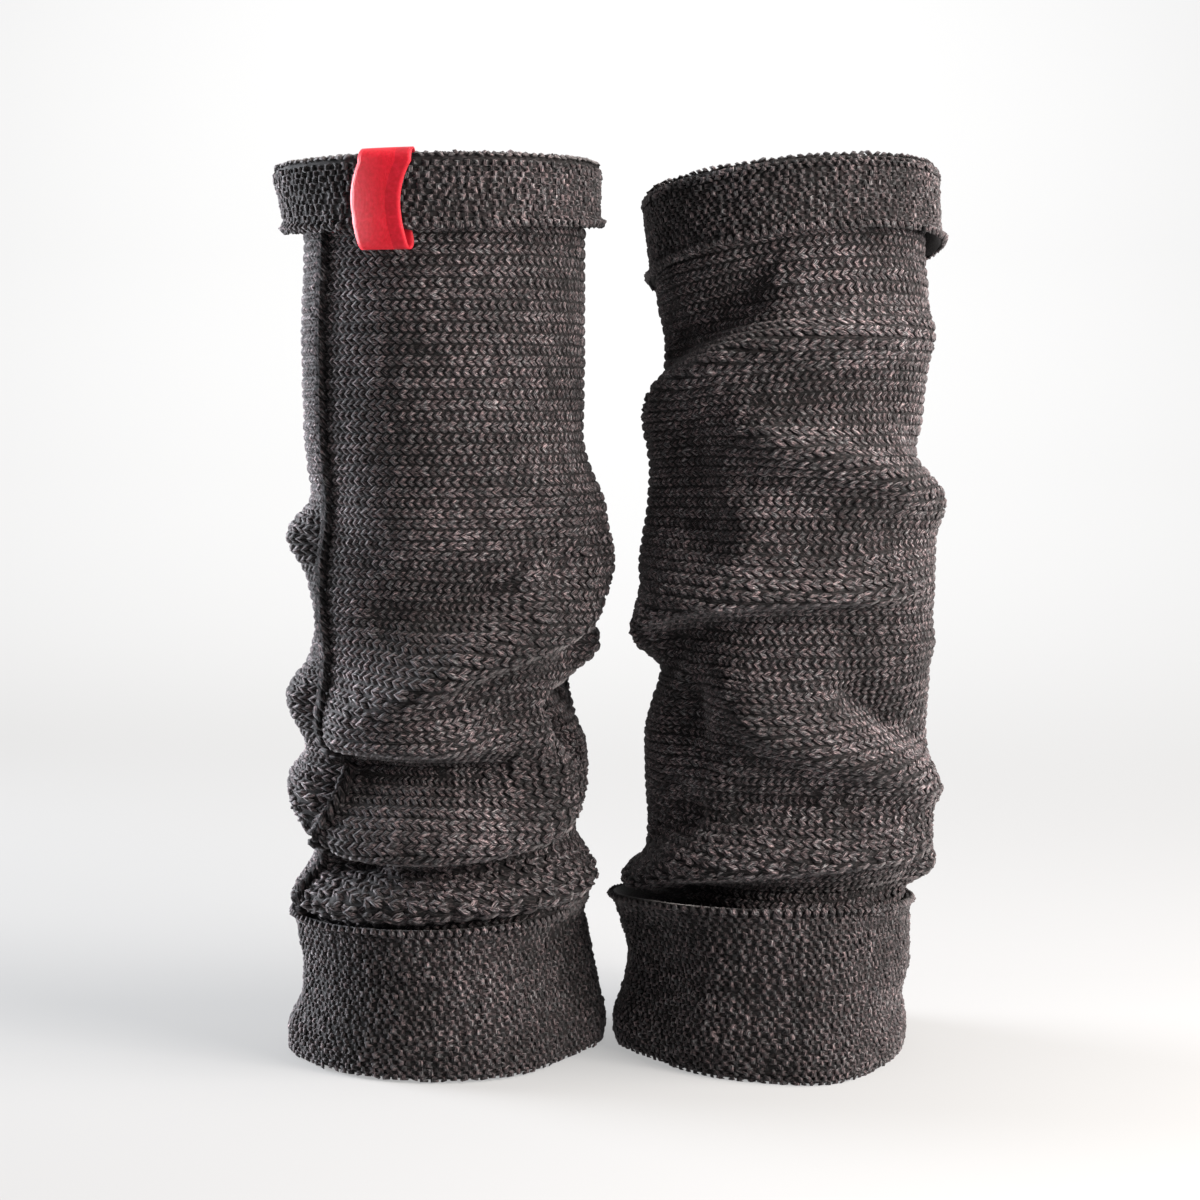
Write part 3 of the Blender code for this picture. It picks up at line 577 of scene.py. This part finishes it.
legs = {"left": LEFT, "right": RIGHT}
cloths = {side: knitted_cloth(leg) for side, leg in legs.items()}
# painted shade: the shell is coloured far darker than the loops' yarn, for the shade in the gaps between
# them
shaded_inner_yarn = wool("wool_blend_rib_inside", 0.42)
for side, cloth in cloths.items():
    points, out = cloth.points[:, ::2], cloth.out[:, ::2]
    # half rows stay only where the cloth bends: there they lie off the line between their neighbours
    off_line = np.abs(np.sum((points[1:-1] - (points[:-2] + points[2:]) / 2) * out[1:-1], axis=-1))
    bent = np.pad(off_line.max(axis=1) > SHELL_SAG, 1)
    kept = np.flatnonzero(bent | (np.arange(len(points)) % 2 == 0))
    shell = walled(side + "_cloth", points[kept], True, SHELL, shaded_inner_yarn)
    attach(shell, "root")
    store(shell.data, "out", out[kept])
    # its fibres run along the rows
    around, down = np.meshgrid(np.arange(points.shape[1]) * LOOP_WIDTH, kept * BODY_ROW / 2)
    store(shell.data, "strand", np.stack([around, down, 0 * down], axis=-1) * MM)
    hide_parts(side + "_leg_warmer")

# ---- The stitches on the body -----------------------------------------------------------------
# The rib was knitted sideways, so its rows of V-shaped loops run round the leg with their points to
# the left. Every other row lies back between the ribs and shows smaller loops, except on the
# folds' crests, where the cloth is pressed together and all rows stand out as plump braids.
COURSE_SHIFT = 0.3            # how far the loops' feet sit above the cloth's middle
LOOP_FLATNESS = 0.85          # thickness of a yarn as a share of its width
LOOP_HEIGHT = 0.82            # how far the loops stand up, as a share of the loop drawn below
SET_BACK_ROW = 0.95           # how wide the rows between the ribs show
CREST_ROW = 0.93              # how much tighter rows lie on a crest
CREST_RISE = 1.0              # how far the cloth on a crest stands out beyond the rows near it,
CREST_ROWS = 7                # so many on either side
BEHIND_TOP_CUFF = 5.0         # how far the stitches go on behind the cuffs' free edges
BEHIND_BOTTOM_CUFF = 6.0


def loop_object(name, path, sides):
    """A closed tube along (x, y, z, radius) points, flattened a little as yarn in a cloth is."""
    path = np.array(path, float)
    centre, radius = path[:, :3], path[:, 3]
    ahead = unit(np.gradient(centre, axis=0))
    beside = unit(np.cross((0.0, 0.0, 1.0), ahead))
    above = np.cross(ahead, beside)
    angle = np.arange(sides) * 2 * math.pi / sides + math.pi / 2
    rings = (centre[:, None] + radius[:, None, None] * (np.cos(angle)[:, None] * beside[:, None]
             + LOOP_FLATNESS * np.sin(angle)[:, None] * above[:, None]))
    points = rings.reshape(-1, 3) * MM
    faces = grid_faces(len(path), sides, True).tolist()
    faces += [tuple(range(sides))[::-1], tuple(range(len(points) - sides, len(points)))]
    mesh = bpy.data.meshes.new(name)
    mesh.from_pydata(points.tolist(), [], faces)
    mesh.shade_smooth()
    run = run_length(centre)
    strand = [(run[i], math.cos(a) * radius[i], math.sin(a) * radius[i])
              for i in range(len(path)) for a in angle]
    store(mesh, "strand", np.array(strand) * MM)
    store(mesh, "depth", points[:, 2] / MM)
    return placed(name, mesh)


def loops_tree():
    """Geometry Nodes: one loop on each point, turned, sized and toned by the point."""
    tree = bpy.data.node_groups.new("yarn_loops", "GeometryNodeTree")
    sockets = {}
    for name, kind in (("Points", "Geometry"), ("Loop", "Object"), ("Lean", "Float"),
                       ("Uneven", "Float"), ("Seed", "Int"), ("Yarn", "Material")):
        sockets[name] = tree.interface.new_socket(name, in_out="INPUT",
                                                  socket_type="NodeSocket" + kind)
    tree.interface.new_socket("Loops", in_out="OUTPUT", socket_type="NodeSocketGeometry")
    given = add(tree, "NodeGroupInput").outputs
    along, out, size = [add(tree, "GeometryNodeInputNamedAttribute", {"Name": name},
                            data_type="FLOAT_VECTOR").outputs["Attribute"]
                        for name in ("along", "out", "size")]
    lean = add(tree, "FunctionNodeRandomValue", {
        "Min": (-1.0, -1.0, -1.0), "Max": (1.0, 1.0, 1.0), "Seed": given["Seed"]},
        data_type="FLOAT_VECTOR")
    lean = add(tree, "ShaderNodeVectorMath", {0: lean.outputs[0], "Scale": given["Lean"]},
               operation="SCALE")
    leant = add(tree, "ShaderNodeVectorMath", {0: out, 1: lean.outputs[0]}, operation="ADD")
    swung = add(tree, "ShaderNodeVectorMath", {0: along, 1: lean.outputs[0]}, operation="ADD")
    turned = add(tree, "FunctionNodeAxesToRotation", {
        "Primary Axis": leant.outputs[0], "Secondary Axis": swung.outputs[0]},
        primary_axis="Z", secondary_axis="X")
    less = add(tree, "ShaderNodeMath", {0: 1.0, 1: given["Uneven"]}, operation="SUBTRACT")
    more = add(tree, "ShaderNodeMath", {0: 1.0, 1: given["Uneven"]}, operation="ADD")
    # a random number's sockets are its node's third and fourth inputs and second output
    uneven = add(tree, "FunctionNodeRandomValue", {
        2: less.outputs[0], 3: more.outputs[0], "Seed": given["Seed"]}, data_type="FLOAT")
    sized = add(tree, "ShaderNodeVectorMath", {0: size, "Scale": uneven.outputs[1]}, operation="SCALE")
    loop = add(tree, "GeometryNodeObjectInfo", {"Object": given["Loop"], "As Instance": True})
    instances = add(tree, "GeometryNodeInstanceOnPoints", {
        "Points": given["Points"], "Instance": loop.outputs["Geometry"],
        "Rotation": turned.outputs[0], "Scale": sized.outputs[0]})
    tone = add(tree, "FunctionNodeRandomValue", {"Seed": given["Seed"]}, data_type="FLOAT")
    toned = add(tree, "GeometryNodeStoreNamedAttribute", {
        "Geometry": instances.outputs[0], "Name": "tone", "Value": tone.outputs[1]},
        data_type="FLOAT", domain="INSTANCE")
    real = add(tree, "GeometryNodeRealizeInstances", {"Geometry": toned.outputs[0]})
    look = add(tree, "GeometryNodeSetMaterial", {
        "Geometry": real.outputs[0], "Material": given["Yarn"]})
    add(tree, "NodeGroupOutput", {"Loops": look.outputs[0]})
    return tree, {name: socket.identifier for name, socket in sockets.items()}


loops, loops_input = loops_tree()


def set_loops(name, points, along, out, size, loop, yarn, seed, lean=0.06, uneven=0.08, astray=0.08):
    """Sets a loop on each point and returns them all as one plain mesh object.

    Each is leant and sized a little at random, and lies up to about 2 * astray off its point.
    """
    mesh = bpy.data.meshes.new(name)
    points = points + np.random.default_rng(seed).normal(0.0, astray, np.shape(points))
    mesh.from_pydata(in_metres(points).tolist(), [], [])
    for key, values in (("along", unit(along)), ("out", out), ("size", size)):
        store(mesh, key, values)
    carrier = placed(name + "_points", mesh)
    knitted = carrier.modifiers.new("loops", "NODES")
    knitted.node_group = loops
    for key, value in (("Loop", loop), ("Lean", lean), ("Uneven", uneven), ("Seed", seed),
                       ("Yarn", yarn)):
        knitted[loops_input[key]] = value
    shown = carrier.evaluated_get(bpy.context.evaluated_depsgraph_get())
    plain = bpy.data.meshes.new_from_object(shown)
    plain.name = name
    for key in ("along", "size"):
        plain.attributes.remove(plain.attributes[key])
    made = placed(name, plain)
    bpy.data.objects.remove(carrier)
    bpy.data.meshes.remove(mesh)
    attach(made, "root")
    return made


def stitch_places(cloth):
    """Middle, direction, knit side, width, row pitch, zone, row and column of every stitch."""
    rows, stitches = len(cloth.points) // 2, STITCHES_ROUND
    r, c = np.meshgrid(np.arange(rows), np.arange(stitches), indexing="ij")
    j, k = 2 * r + 1, (2 * c + r % 2) % (2 * stitches)
    p = cloth.points
    right, left = p[j, (k + 1) % (2 * stitches)], p[j, k - 1]
    upper, lower = p[j - 1, k], p[j + 1, k]
    along = right - left
    width, pitch = np.linalg.norm(along, axis=-1), np.linalg.norm(upper - lower, axis=-1)
    return p[j, k], along, cloth.out[j, k], width, pitch, cloth.zone[j], r, k


yarn = wool("wool_blend_rib", 1.0)
v_loop = loop_object("v_loop", [
    (2.20, 1.15, -0.35, 0.60), (0.80, 1.00, 0.45, 0.94), (-1.00, 0.0, 0.65, 0.82),
    (0.80, -1.00, 0.45, 0.94), (2.20, -1.15, -0.35, 0.60)], 4)
rib_loop = loop_object("rib_loop", [
    (1.90, 1.05, -0.40, 0.58), (0.80, 0.98, 0.35, 0.88), (-0.30, 0.0, 0.65, 0.84),
    (0.80, -0.98, 0.35, 0.88), (1.90, -1.05, -0.40, 0.58)], 4)
loop_pieces = {"left": [], "right": []}
for side, cloth in cloths.items():
    place, along, out, width, pitch, zone, row, column = stitch_places(cloth)
    top_edge, bottom_edge = cloth.points[0, column, 2], cloth.points[-1, column, 2]
    seen = ((zone == BODY) & (place[..., 2] < top_edge + BEHIND_TOP_CUFF)
            & (place[..., 2] > bottom_edge - BEHIND_BOTTOM_CUFF))
    radius = np.hypot(place[..., 0] - legs[side]["axis"], place[..., 1])
    near = np.full(2 * CREST_ROWS + 1, 1 / (2 * CREST_ROWS + 1))
    mean = np.array([np.convolve(np.pad(wale, CREST_ROWS, mode="edge"), near, mode="valid")
                     for wale in radius.T]).T
    crest = radius - mean > CREST_RISE
    plump = (row % 2 == 1) | crest
    spread = np.where(row % 2 == 1, 1.0, SET_BACK_ROW) * np.where(crest, CREST_ROW, 1.0)
    size = np.stack([width / LOOP_WIDTH, pitch / BODY_ROW * spread,
                     np.full_like(width, LOOP_HEIGHT)], axis=-1)
    foot = place + out * COURSE_SHIFT
    middle = int(np.median(row[seen]))
    for part, half in (("upper", row <= middle), ("lower", row > middle)):
        for kind, loop, chosen in (("v", v_loop, plump), ("rib", rib_loop, ~plump)):
            chosen = chosen & half & seen
            piece = set_loops(f"{side}_{kind}_stitches_{part}", foot[chosen], along[chosen], out[chosen],
                              size[chosen], loop, yarn, seed=11 if part == "upper" else 12)
            loop_pieces[side].append(piece)

# ---- The purl side on cuffs and rims ----------------------------------------------------------
# Both cuffs show the cloth's inner side, so they are covered with purl bumps that lie like bricks,
# over the rim and a little way down inside it, and down to the fold on the floor.
BUMP = (1.04, 0.86, 0.82)     # along the row, down the rows and out, as shares of the bump drawn below
DOWN_INSIDE = 10.0            # how far below the rim's top the bumps go inside
BUMP_RISE = 1.2               # how far a bump stands off the cloth's middle,
ABOVE_FLOOR = 1.3             # and how high its top lies at least
PRESSED_BUMP = 0.75           # how thin the tube's weight presses those that lie at the floor,
PRESSED_BELOW = 4.0           # up to this height
purl_bump = loop_object("purl_bump", [
    (-0.90, 0.95, -0.25, 0.50), (0.40, 0.48, 0.50, 0.90), (0.40, -0.48, 0.50, 0.90),
    (-0.90, -0.95, -0.25, 0.50)], 4)
# the purl side is coloured at 0.8 of the knit side: partly its own duller look, partly painted shade
# that dims the cuffs
purl_yarn = wool("wool_blend_rib_purl_side", 0.8)
for side, cloth in cloths.items():
    place, along, out, width, pitch, zone, row, column = stitch_places(cloth)
    rim_height = legs[side]["rim"].height
    inside_rim = (zone == BODY) & (cloth.height[2 * row + 1] > rim_height - DOWN_INSIDE)
    clear_of_floor = place[..., 2] - out[..., 2] * BUMP_RISE > ABOVE_FLOOR
    seen = ((zone == TOP_CUFF) | (zone == RIM) | inside_rim
            | ((zone == BOTTOM_CUFF) | (zone == FLOOR)) & clear_of_floor)
    flattened = np.clip(place[..., 2] / PRESSED_BELOW, PRESSED_BUMP, 1.0)
    size = np.stack([width / LOOP_WIDTH * BUMP[0], pitch / CUFF_ROW * BUMP[1],
                     BUMP[2] * flattened], axis=-1)
    # every other row lies half a stitch further on, like bricks
    head = place - out * COURSE_SHIFT - along * (0.5 * (row % 2))[..., None]
    # every stitch shows the head of its loop and, half a stitch and half a row on, the foot of the
    # next one, which curl opposite ways
    down = unit(np.cross(out, along)) * pitch[..., None]
    foot = head + along * 0.5 + down * 0.5
    way = np.random.default_rng(5).choice((-1.0, 1.0), size=(*width.shape, 1))
    paired = seen & ~inside_rim
    bumps = [np.concatenate([heads[seen], feet[paired]]) for heads, feet in (
        (head, foot), (along * way, along * -way), (-out, -out), (size, size))]
    piece = set_loops(side + "_purl_bumps", *bumps, purl_bump, purl_yarn, seed=21,
                      lean=0.25, uneven=0.14, astray=0.14)
    loop_pieces[side].append(piece)

# ---- Cast-off edges of the cuffs --------------------------------------------------------------
# Each cuff's free edge ends in a chain of larger, tighter loops of the same yarn, made when the last
# stitches are cast off. It rolls outwards and catches the light.
EDGE_LIFT = 1.1               # how far the chain's middle stands off the cuff's
EDGE_DOWN = 0.3               # how far it lies down the cuff, in half rows
EDGE_LINK = 2.6               # stitch width that the link below is drawn for
EDGE_HEIGHT = 1.15            # how far links stand up, as a share of it
UNDER_RIBBON = (-33.0, -4.0)  # turns between which the ribbon presses the left top edge flat,
PRESSED_LIFT = 0.3            # and what it leaves of the chain's lift
PRESSED_HEIGHT = 0.8          # and height
edge_loop = loop_object("edge_loop", [
    (-0.35, 1.1, -0.3, 0.6), (0.05, 0.1, 0.5, 1.0), (0.35, -0.9, -0.3, 0.7)], 6)
for side, cloth in cloths.items():
    k = np.arange(0, 2 * STITCHES_ROUND, 2)
    for name, first, second in (("top", 0, 1), ("bottom", -1, -2)):
        edge, inner = cloth.points[first, k], cloth.points[second, k]
        along = cloth.points[first, (k + 1) % len(cloth.points[0])] - cloth.points[first, k - 1]
        width = np.linalg.norm(along, axis=-1)
        turn = np.degrees(np.arctan2(edge[:, 0] - legs[side]["axis"], -edge[:, 1]))
        pressed = (turn > UNDER_RIBBON[0]) & (turn < UNDER_RIBBON[1])
        if (side, name) != ("left", "top"):
            pressed[:] = False
        lift = np.where(pressed, PRESSED_LIFT, EDGE_LIFT)[:, None]
        size = np.stack([width / EDGE_LINK, np.ones(len(k)),
                         np.where(pressed, PRESSED_HEIGHT, EDGE_HEIGHT)], axis=-1)
        place = edge - cloth.out[first, k] * lift + (inner - edge) * EDGE_DOWN
        piece = set_loops(f"{side}_{name}_edge", place, along, -cloth.out[first, k], size,
                          edge_loop, yarn, seed=31, lean=0.1)
        loop_pieces[side].append(piece)

# ---- The long seams ---------------------------------------------------------------------------
# The tube's two selvedges are linked edge to edge by a chain of tighter loops of the same yarn, which
# stands off the body as a thin ridge and runs down it. Its yarn is coloured darker and its nap dimmed:
# painted shade for the ridge's flanks and the shadow it casts.
CHAIN_LINK = 3.1              # from one link to the next
CHAIN_START, CHAIN_END = 1.5, 1.0   # from the seam's ends to the first link and the last
CHAIN_LIFT = 1.6              # how far the chain stands off the cloth's middle
CHAIN_SIZE = (1.2, 1.3, 2.0)  # a link's length, width and height, as shares of a V loop's
ABOVE_CUFF_EDGES = (3.0, 1.0)  # where it starts and ends, above the two cuffs' free edges
# painted shade: the chain's yarn is darker and its nap nearly black
shaded_seam_yarn = wool("wool_blend_linking_chain", 0.45, nap="#1c1c1c")
for side, cloth in cloths.items():
    line, out = cloth.points[:, 0], cloth.out[:, 0]
    seen = ((cloth.zone == BODY) & (line[:, 2] < line[0, 2] + ABOVE_CUFF_EDGES[0])
            & (line[:, 2] > line[-1, 2] + ABOVE_CUFF_EDGES[1]))
    line, out = line[seen], out[seen]
    length = run_length(line)
    steps = np.arange(CHAIN_START, length[-1] - CHAIN_END, CHAIN_LINK)
    place = np.stack([np.interp(steps, length, line[:, i]) for i in range(3)], axis=-1)
    facing = unit(np.stack([np.interp(steps, length, out[:, i]) for i in range(3)], axis=-1))
    piece = set_loops(side + "_seam_chain", place + facing * CHAIN_LIFT, np.gradient(place, axis=0),
                      facing, np.tile(CHAIN_SIZE, (len(steps), 1)), v_loop, shaded_seam_yarn, seed=41)
    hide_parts(side + "_seam")
    loop_pieces[side].append(piece)
# the single loops have served as patterns
for used in (v_loop, rib_loop, purl_bump, edge_loop):
    bpy.data.objects.remove(used)

# ---- The ribbon loop --------------------------------------------------------------------------
# A woven polyester ribbon, folded round the left top cuff: up behind the cuff, under its edge, up
# its outside, over the rim and down inside. Its face is bare, with a darker ribbed selvedge band.
RIBBON = 0.6                  # its thickness
RIBBON_WIDTH = 17.5
RIBBON_TURN = 17.6            # degrees of the cuff that it covers
TURN_AT_RIM, TURN_AT_EDGE = -16.4, -19.6   # where its middle lies
BOW = 2.2                     # degrees that it bows to the left between them
TURN_BEHIND = 1.8             # degrees that the part behind the cuff lies further right
RIBBON_LIFT = 2.0             # from the cloth's middle to the ribbon's
OVER_RIM = 0.3                # how far it stands up over the rim
HANG = 7.0                    # how far its round end hangs below the cuff's edge
INSIDE = 14.0                 # how far it goes down inside
BAND_START = 12.4             # the selvedge band lies to the right of this
WEFT_PICK, WARP_THREAD = 0.45, 0.55   # thread spacings, coarser than real so that they show
THREAD_RELIEF = 0.06
DYE_CLOUD = 1.2               # size of the dye's faint cloudiness


def ribbon_rows(leg):
    """The ribbon's middle: behind the cuff, round its edge, up outside, over the rim, down inside."""
    depth = cuff_depth(leg)
    spread = np.linspace(-RIBBON_TURN / 2, RIBBON_TURN / 2, 13)

    def turn_at(t):
        return spread + TURN_AT_EDGE + (TURN_AT_RIM - TURN_AT_EDGE) * t - BOW * 4 * t * (1 - t)

    shares = np.linspace(0.0, 1.0, 18)
    outside = np.array([ring(leg, top_cuff_section(leg, t), turn_at(t), curl(t * depth))
                        for t in shares])
    normal = unit(np.cross(np.gradient(outside, axis=1), np.gradient(outside, axis=0)))
    back = np.array([ring(leg, top_cuff_section(leg, t), turn_at(t) + TURN_BEHIND, curl(t * depth))
                     for t in shares[:4]])
    behind = back - normal[:4] * RIBBON_LIFT
    downward = unit(outside[0] - outside[1])
    under = [back[0] + (outside[0] - back[0]) * min(1.0, 1 - math.cos(a))
             - normal[0] * RIBBON_LIFT * math.cos(a) + downward * HANG * math.sin(a) ** 0.6
             for a in np.linspace(0.0, math.pi, 15)[1:-1]]
    start, bend, over = top_cuff_section(leg, 1.0), RIM_BEND + RIBBON_LIFT, []
    for a in np.linspace(0.0, math.pi, 13)[1:]:
        section = narrower(start, RIM_BEND - bend * math.cos(a))
        height = start.height + (bend + OVER_RIM) * math.sin(a)
        over.append(ring(leg, section._replace(height=height), turn_at(1.0)))
    inside = [ring(leg, narrower(body_section(leg, start.height - fall), RIBBON_LIFT), turn_at(1.0))
              for fall in np.linspace(0.0, INSIDE, 8)[1:]]
    return np.array([*behind[::-1], *under, *(outside + normal * RIBBON_LIFT), *over, *inside])


def woven_ribbon():
    """Woven polyester: filament warp over a finer weft, so a slight satin glint across the threads."""
    made, tree, shader = new_material("woven_polyester_ribbon", roughness=0.5, specular=0.25, sheen=0.04)
    place = add(tree, "ShaderNodeUVMap", uv_map="ribbon")
    place = add(tree, "ShaderNodeSeparateXYZ", {0: place.outputs[0]})

    def threads(across, spacing):
        """A wave that crosses one thread after the other."""
        wave = add(tree, "ShaderNodeMath", {0: place.outputs[across], 1: 2 * math.pi / spacing},
                   operation="MULTIPLY")
        return add(tree, "ShaderNodeMath", {0: wave.outputs[0]}, operation="SINE").outputs[0]

    band = add(tree, "ShaderNodeMath", {0: place.outputs["X"], 1: BAND_START}, operation="GREATER_THAN")
    rib = add(tree, "ShaderNodeMix", {
        "Factor": band.outputs[0], "A": threads("X", WARP_THREAD), "B": threads("Y", WEFT_PICK)},
        data_type="FLOAT")
    cloudy = add(tree, "ShaderNodeTexNoise", {
        "Vector": add(tree, "ShaderNodeTexCoord").outputs["Object"],
        "Scale": 1 / (DYE_CLOUD * MM), "Detail": 3.0})
    face = add(tree, "ShaderNodeValToRGB", {"Fac": cloudy.outputs["Fac"]}, stops=[
        (0.3, "#ca0f21"), (0.55, "#d8152a"), (0.75, "#e01e34")])
    selvedge = add(tree, "ShaderNodeValToRGB", {"Fac": cloudy.outputs["Fac"]}, stops=[
        (0.3, "#b20e1f"), (0.55, "#c01428"), (0.75, "#cb1c32")])
    colour = add(tree, "ShaderNodeMix", {
        "Factor": band.outputs[0], "A": face.outputs["Color"], "B": selvedge.outputs["Color"]},
        data_type="RGBA")
    tree.links.new(colour.outputs["Result"], shader.inputs["Base Color"])
    relief = add(tree, "ShaderNodeBump", {
        "Height": rib.outputs["Result"], "Strength": 0.5, "Distance": THREAD_RELIEF * MM})
    tree.links.new(relief.outputs["Normal"], shader.inputs["Normal"])
    return made


rows = ribbon_rows(LEFT)
ribbon = walled("left_ribbon_loop", rows, False, RIBBON, woven_ribbon())
ribbon_map = ribbon.data.uv_layers.new(name="ribbon")
up_length = run_length(rows[:, rows.shape[1] // 2])
side_length = np.linspace(0.0, RIBBON_WIDTH, rows.shape[1])
vertex = np.zeros(len(ribbon.data.loops), int)
ribbon.data.loops.foreach_get("vertex_index", vertex)
flat = np.stack([side_length[vertex % rows.shape[1]], up_length[vertex // rows.shape[1]]], axis=-1)
ribbon_map.data.foreach_set("uv", flat.reshape(-1).astype(np.float32))
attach(ribbon, "root")
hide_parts("left_label")

# ---- Floor, light and camera ------------------------------------------------------------------
# White seamless paper that curves up behind, with a lamp of its own. A cool soft light stands behind
# on the left, a broad one hangs above, and two warm ones stand on the right. All in metres.
PAPER_WIDTH = 10.0
CAMERA_SLOPE = 1 / 13         # how steeply the camera looks down
sweep = [(-3.0, 0.0), (0.8, 0.0), (1.2, 0.04), (1.6, 0.15), (2.0, 0.38), (2.3, 0.7), (2.5, 1.2),
         (2.6, 2.0), (2.6, 4.0)]   # depth and height
floor_mesh = bpy.data.meshes.new("sweep")
floor_mesh.from_pydata([(x, y, z) for y, z in sweep for x in (-PAPER_WIDTH / 2, PAPER_WIDTH / 2)], [],
                       [(2 * i, 2 * i + 1, 2 * i + 3, 2 * i + 2) for i in range(len(sweep) - 1)])
floor_mesh.shade_smooth()
floor = placed("sweep", floor_mesh)
# the paper glows a little, so it stays white in front of dark knitwear
paper, _, paper_shader = new_material("white_seamless_paper", roughness=1.0, specular=0.0)
paper_shader.inputs["Base Color"].default_value = linear("#808080")
paper_shader.inputs["Emission Color"].default_value = (1.0, 1.0, 1.0, 1.0)
paper_shader.inputs["Emission Strength"].default_value = 0.39
floor_mesh.materials.append(paper)

world = bpy.data.worlds.new("white_room")
bpy.context.scene.world = world
world.use_nodes = True
room_light = world.node_tree.nodes["Background"]
room_light.inputs["Color"].default_value = (1.0, 1.0, 1.0, 1.0)
room_light.inputs["Strength"].default_value = 0.2


def softbox(name, place, aim, size, power, colour, spread=180.0):
    """A square lamp that faces the aim; its spread is in degrees."""
    light = bpy.data.lights.new(name, "AREA")
    light.size, light.energy, light.spread = size, power, math.radians(spread)
    light.color = linear(colour)[:3]
    made = placed(name, light)
    made.location = place
    ahead = np.array(aim) - np.array(place)
    made.rotation_euler = (math.acos(-ahead[2] / np.linalg.norm(ahead)), 0.0,
                           math.atan2(-ahead[0], ahead[1]))


softbox("backdrop_light", (0.0, 0.9, 1.7), (0.0, 2.6, 0.9), 1.2, 87.0, "#ffffff")
softbox("left_softbox", (-1.1, 0.5, 0.3), (0.0, 0.0, 0.15), 0.7, 10.5, "#f4f8ff", 60.0)
softbox("top_softbox", (0.0, 0.1, 1.5), (0.0, 0.0, 0.1), 0.8, 5.5, "#ffffff")
softbox("high_right_softbox", (0.7, -0.2, 1.0), (0.0, 0.0, 0.1), 0.5, 16.0, "#fff8f2")
softbox("right_softbox", (0.46, -0.38, 0.32), (0.06, 0.0, 0.14), 0.25, 6.2, "#fff8f2")

camera_data = bpy.data.cameras.new("camera")
camera_data.lens = 78.0
camera_data.sensor_width = 36.0
camera = placed("camera", camera_data)
camera.location = (-0.00315, -0.8697, 0.217)
camera.rotation_euler = (math.pi / 2 - math.atan(CAMERA_SLOPE), 0.0, 0.0)
bpy.context.scene.camera = camera
bpy.context.scene.view_settings.view_transform = "Standard"
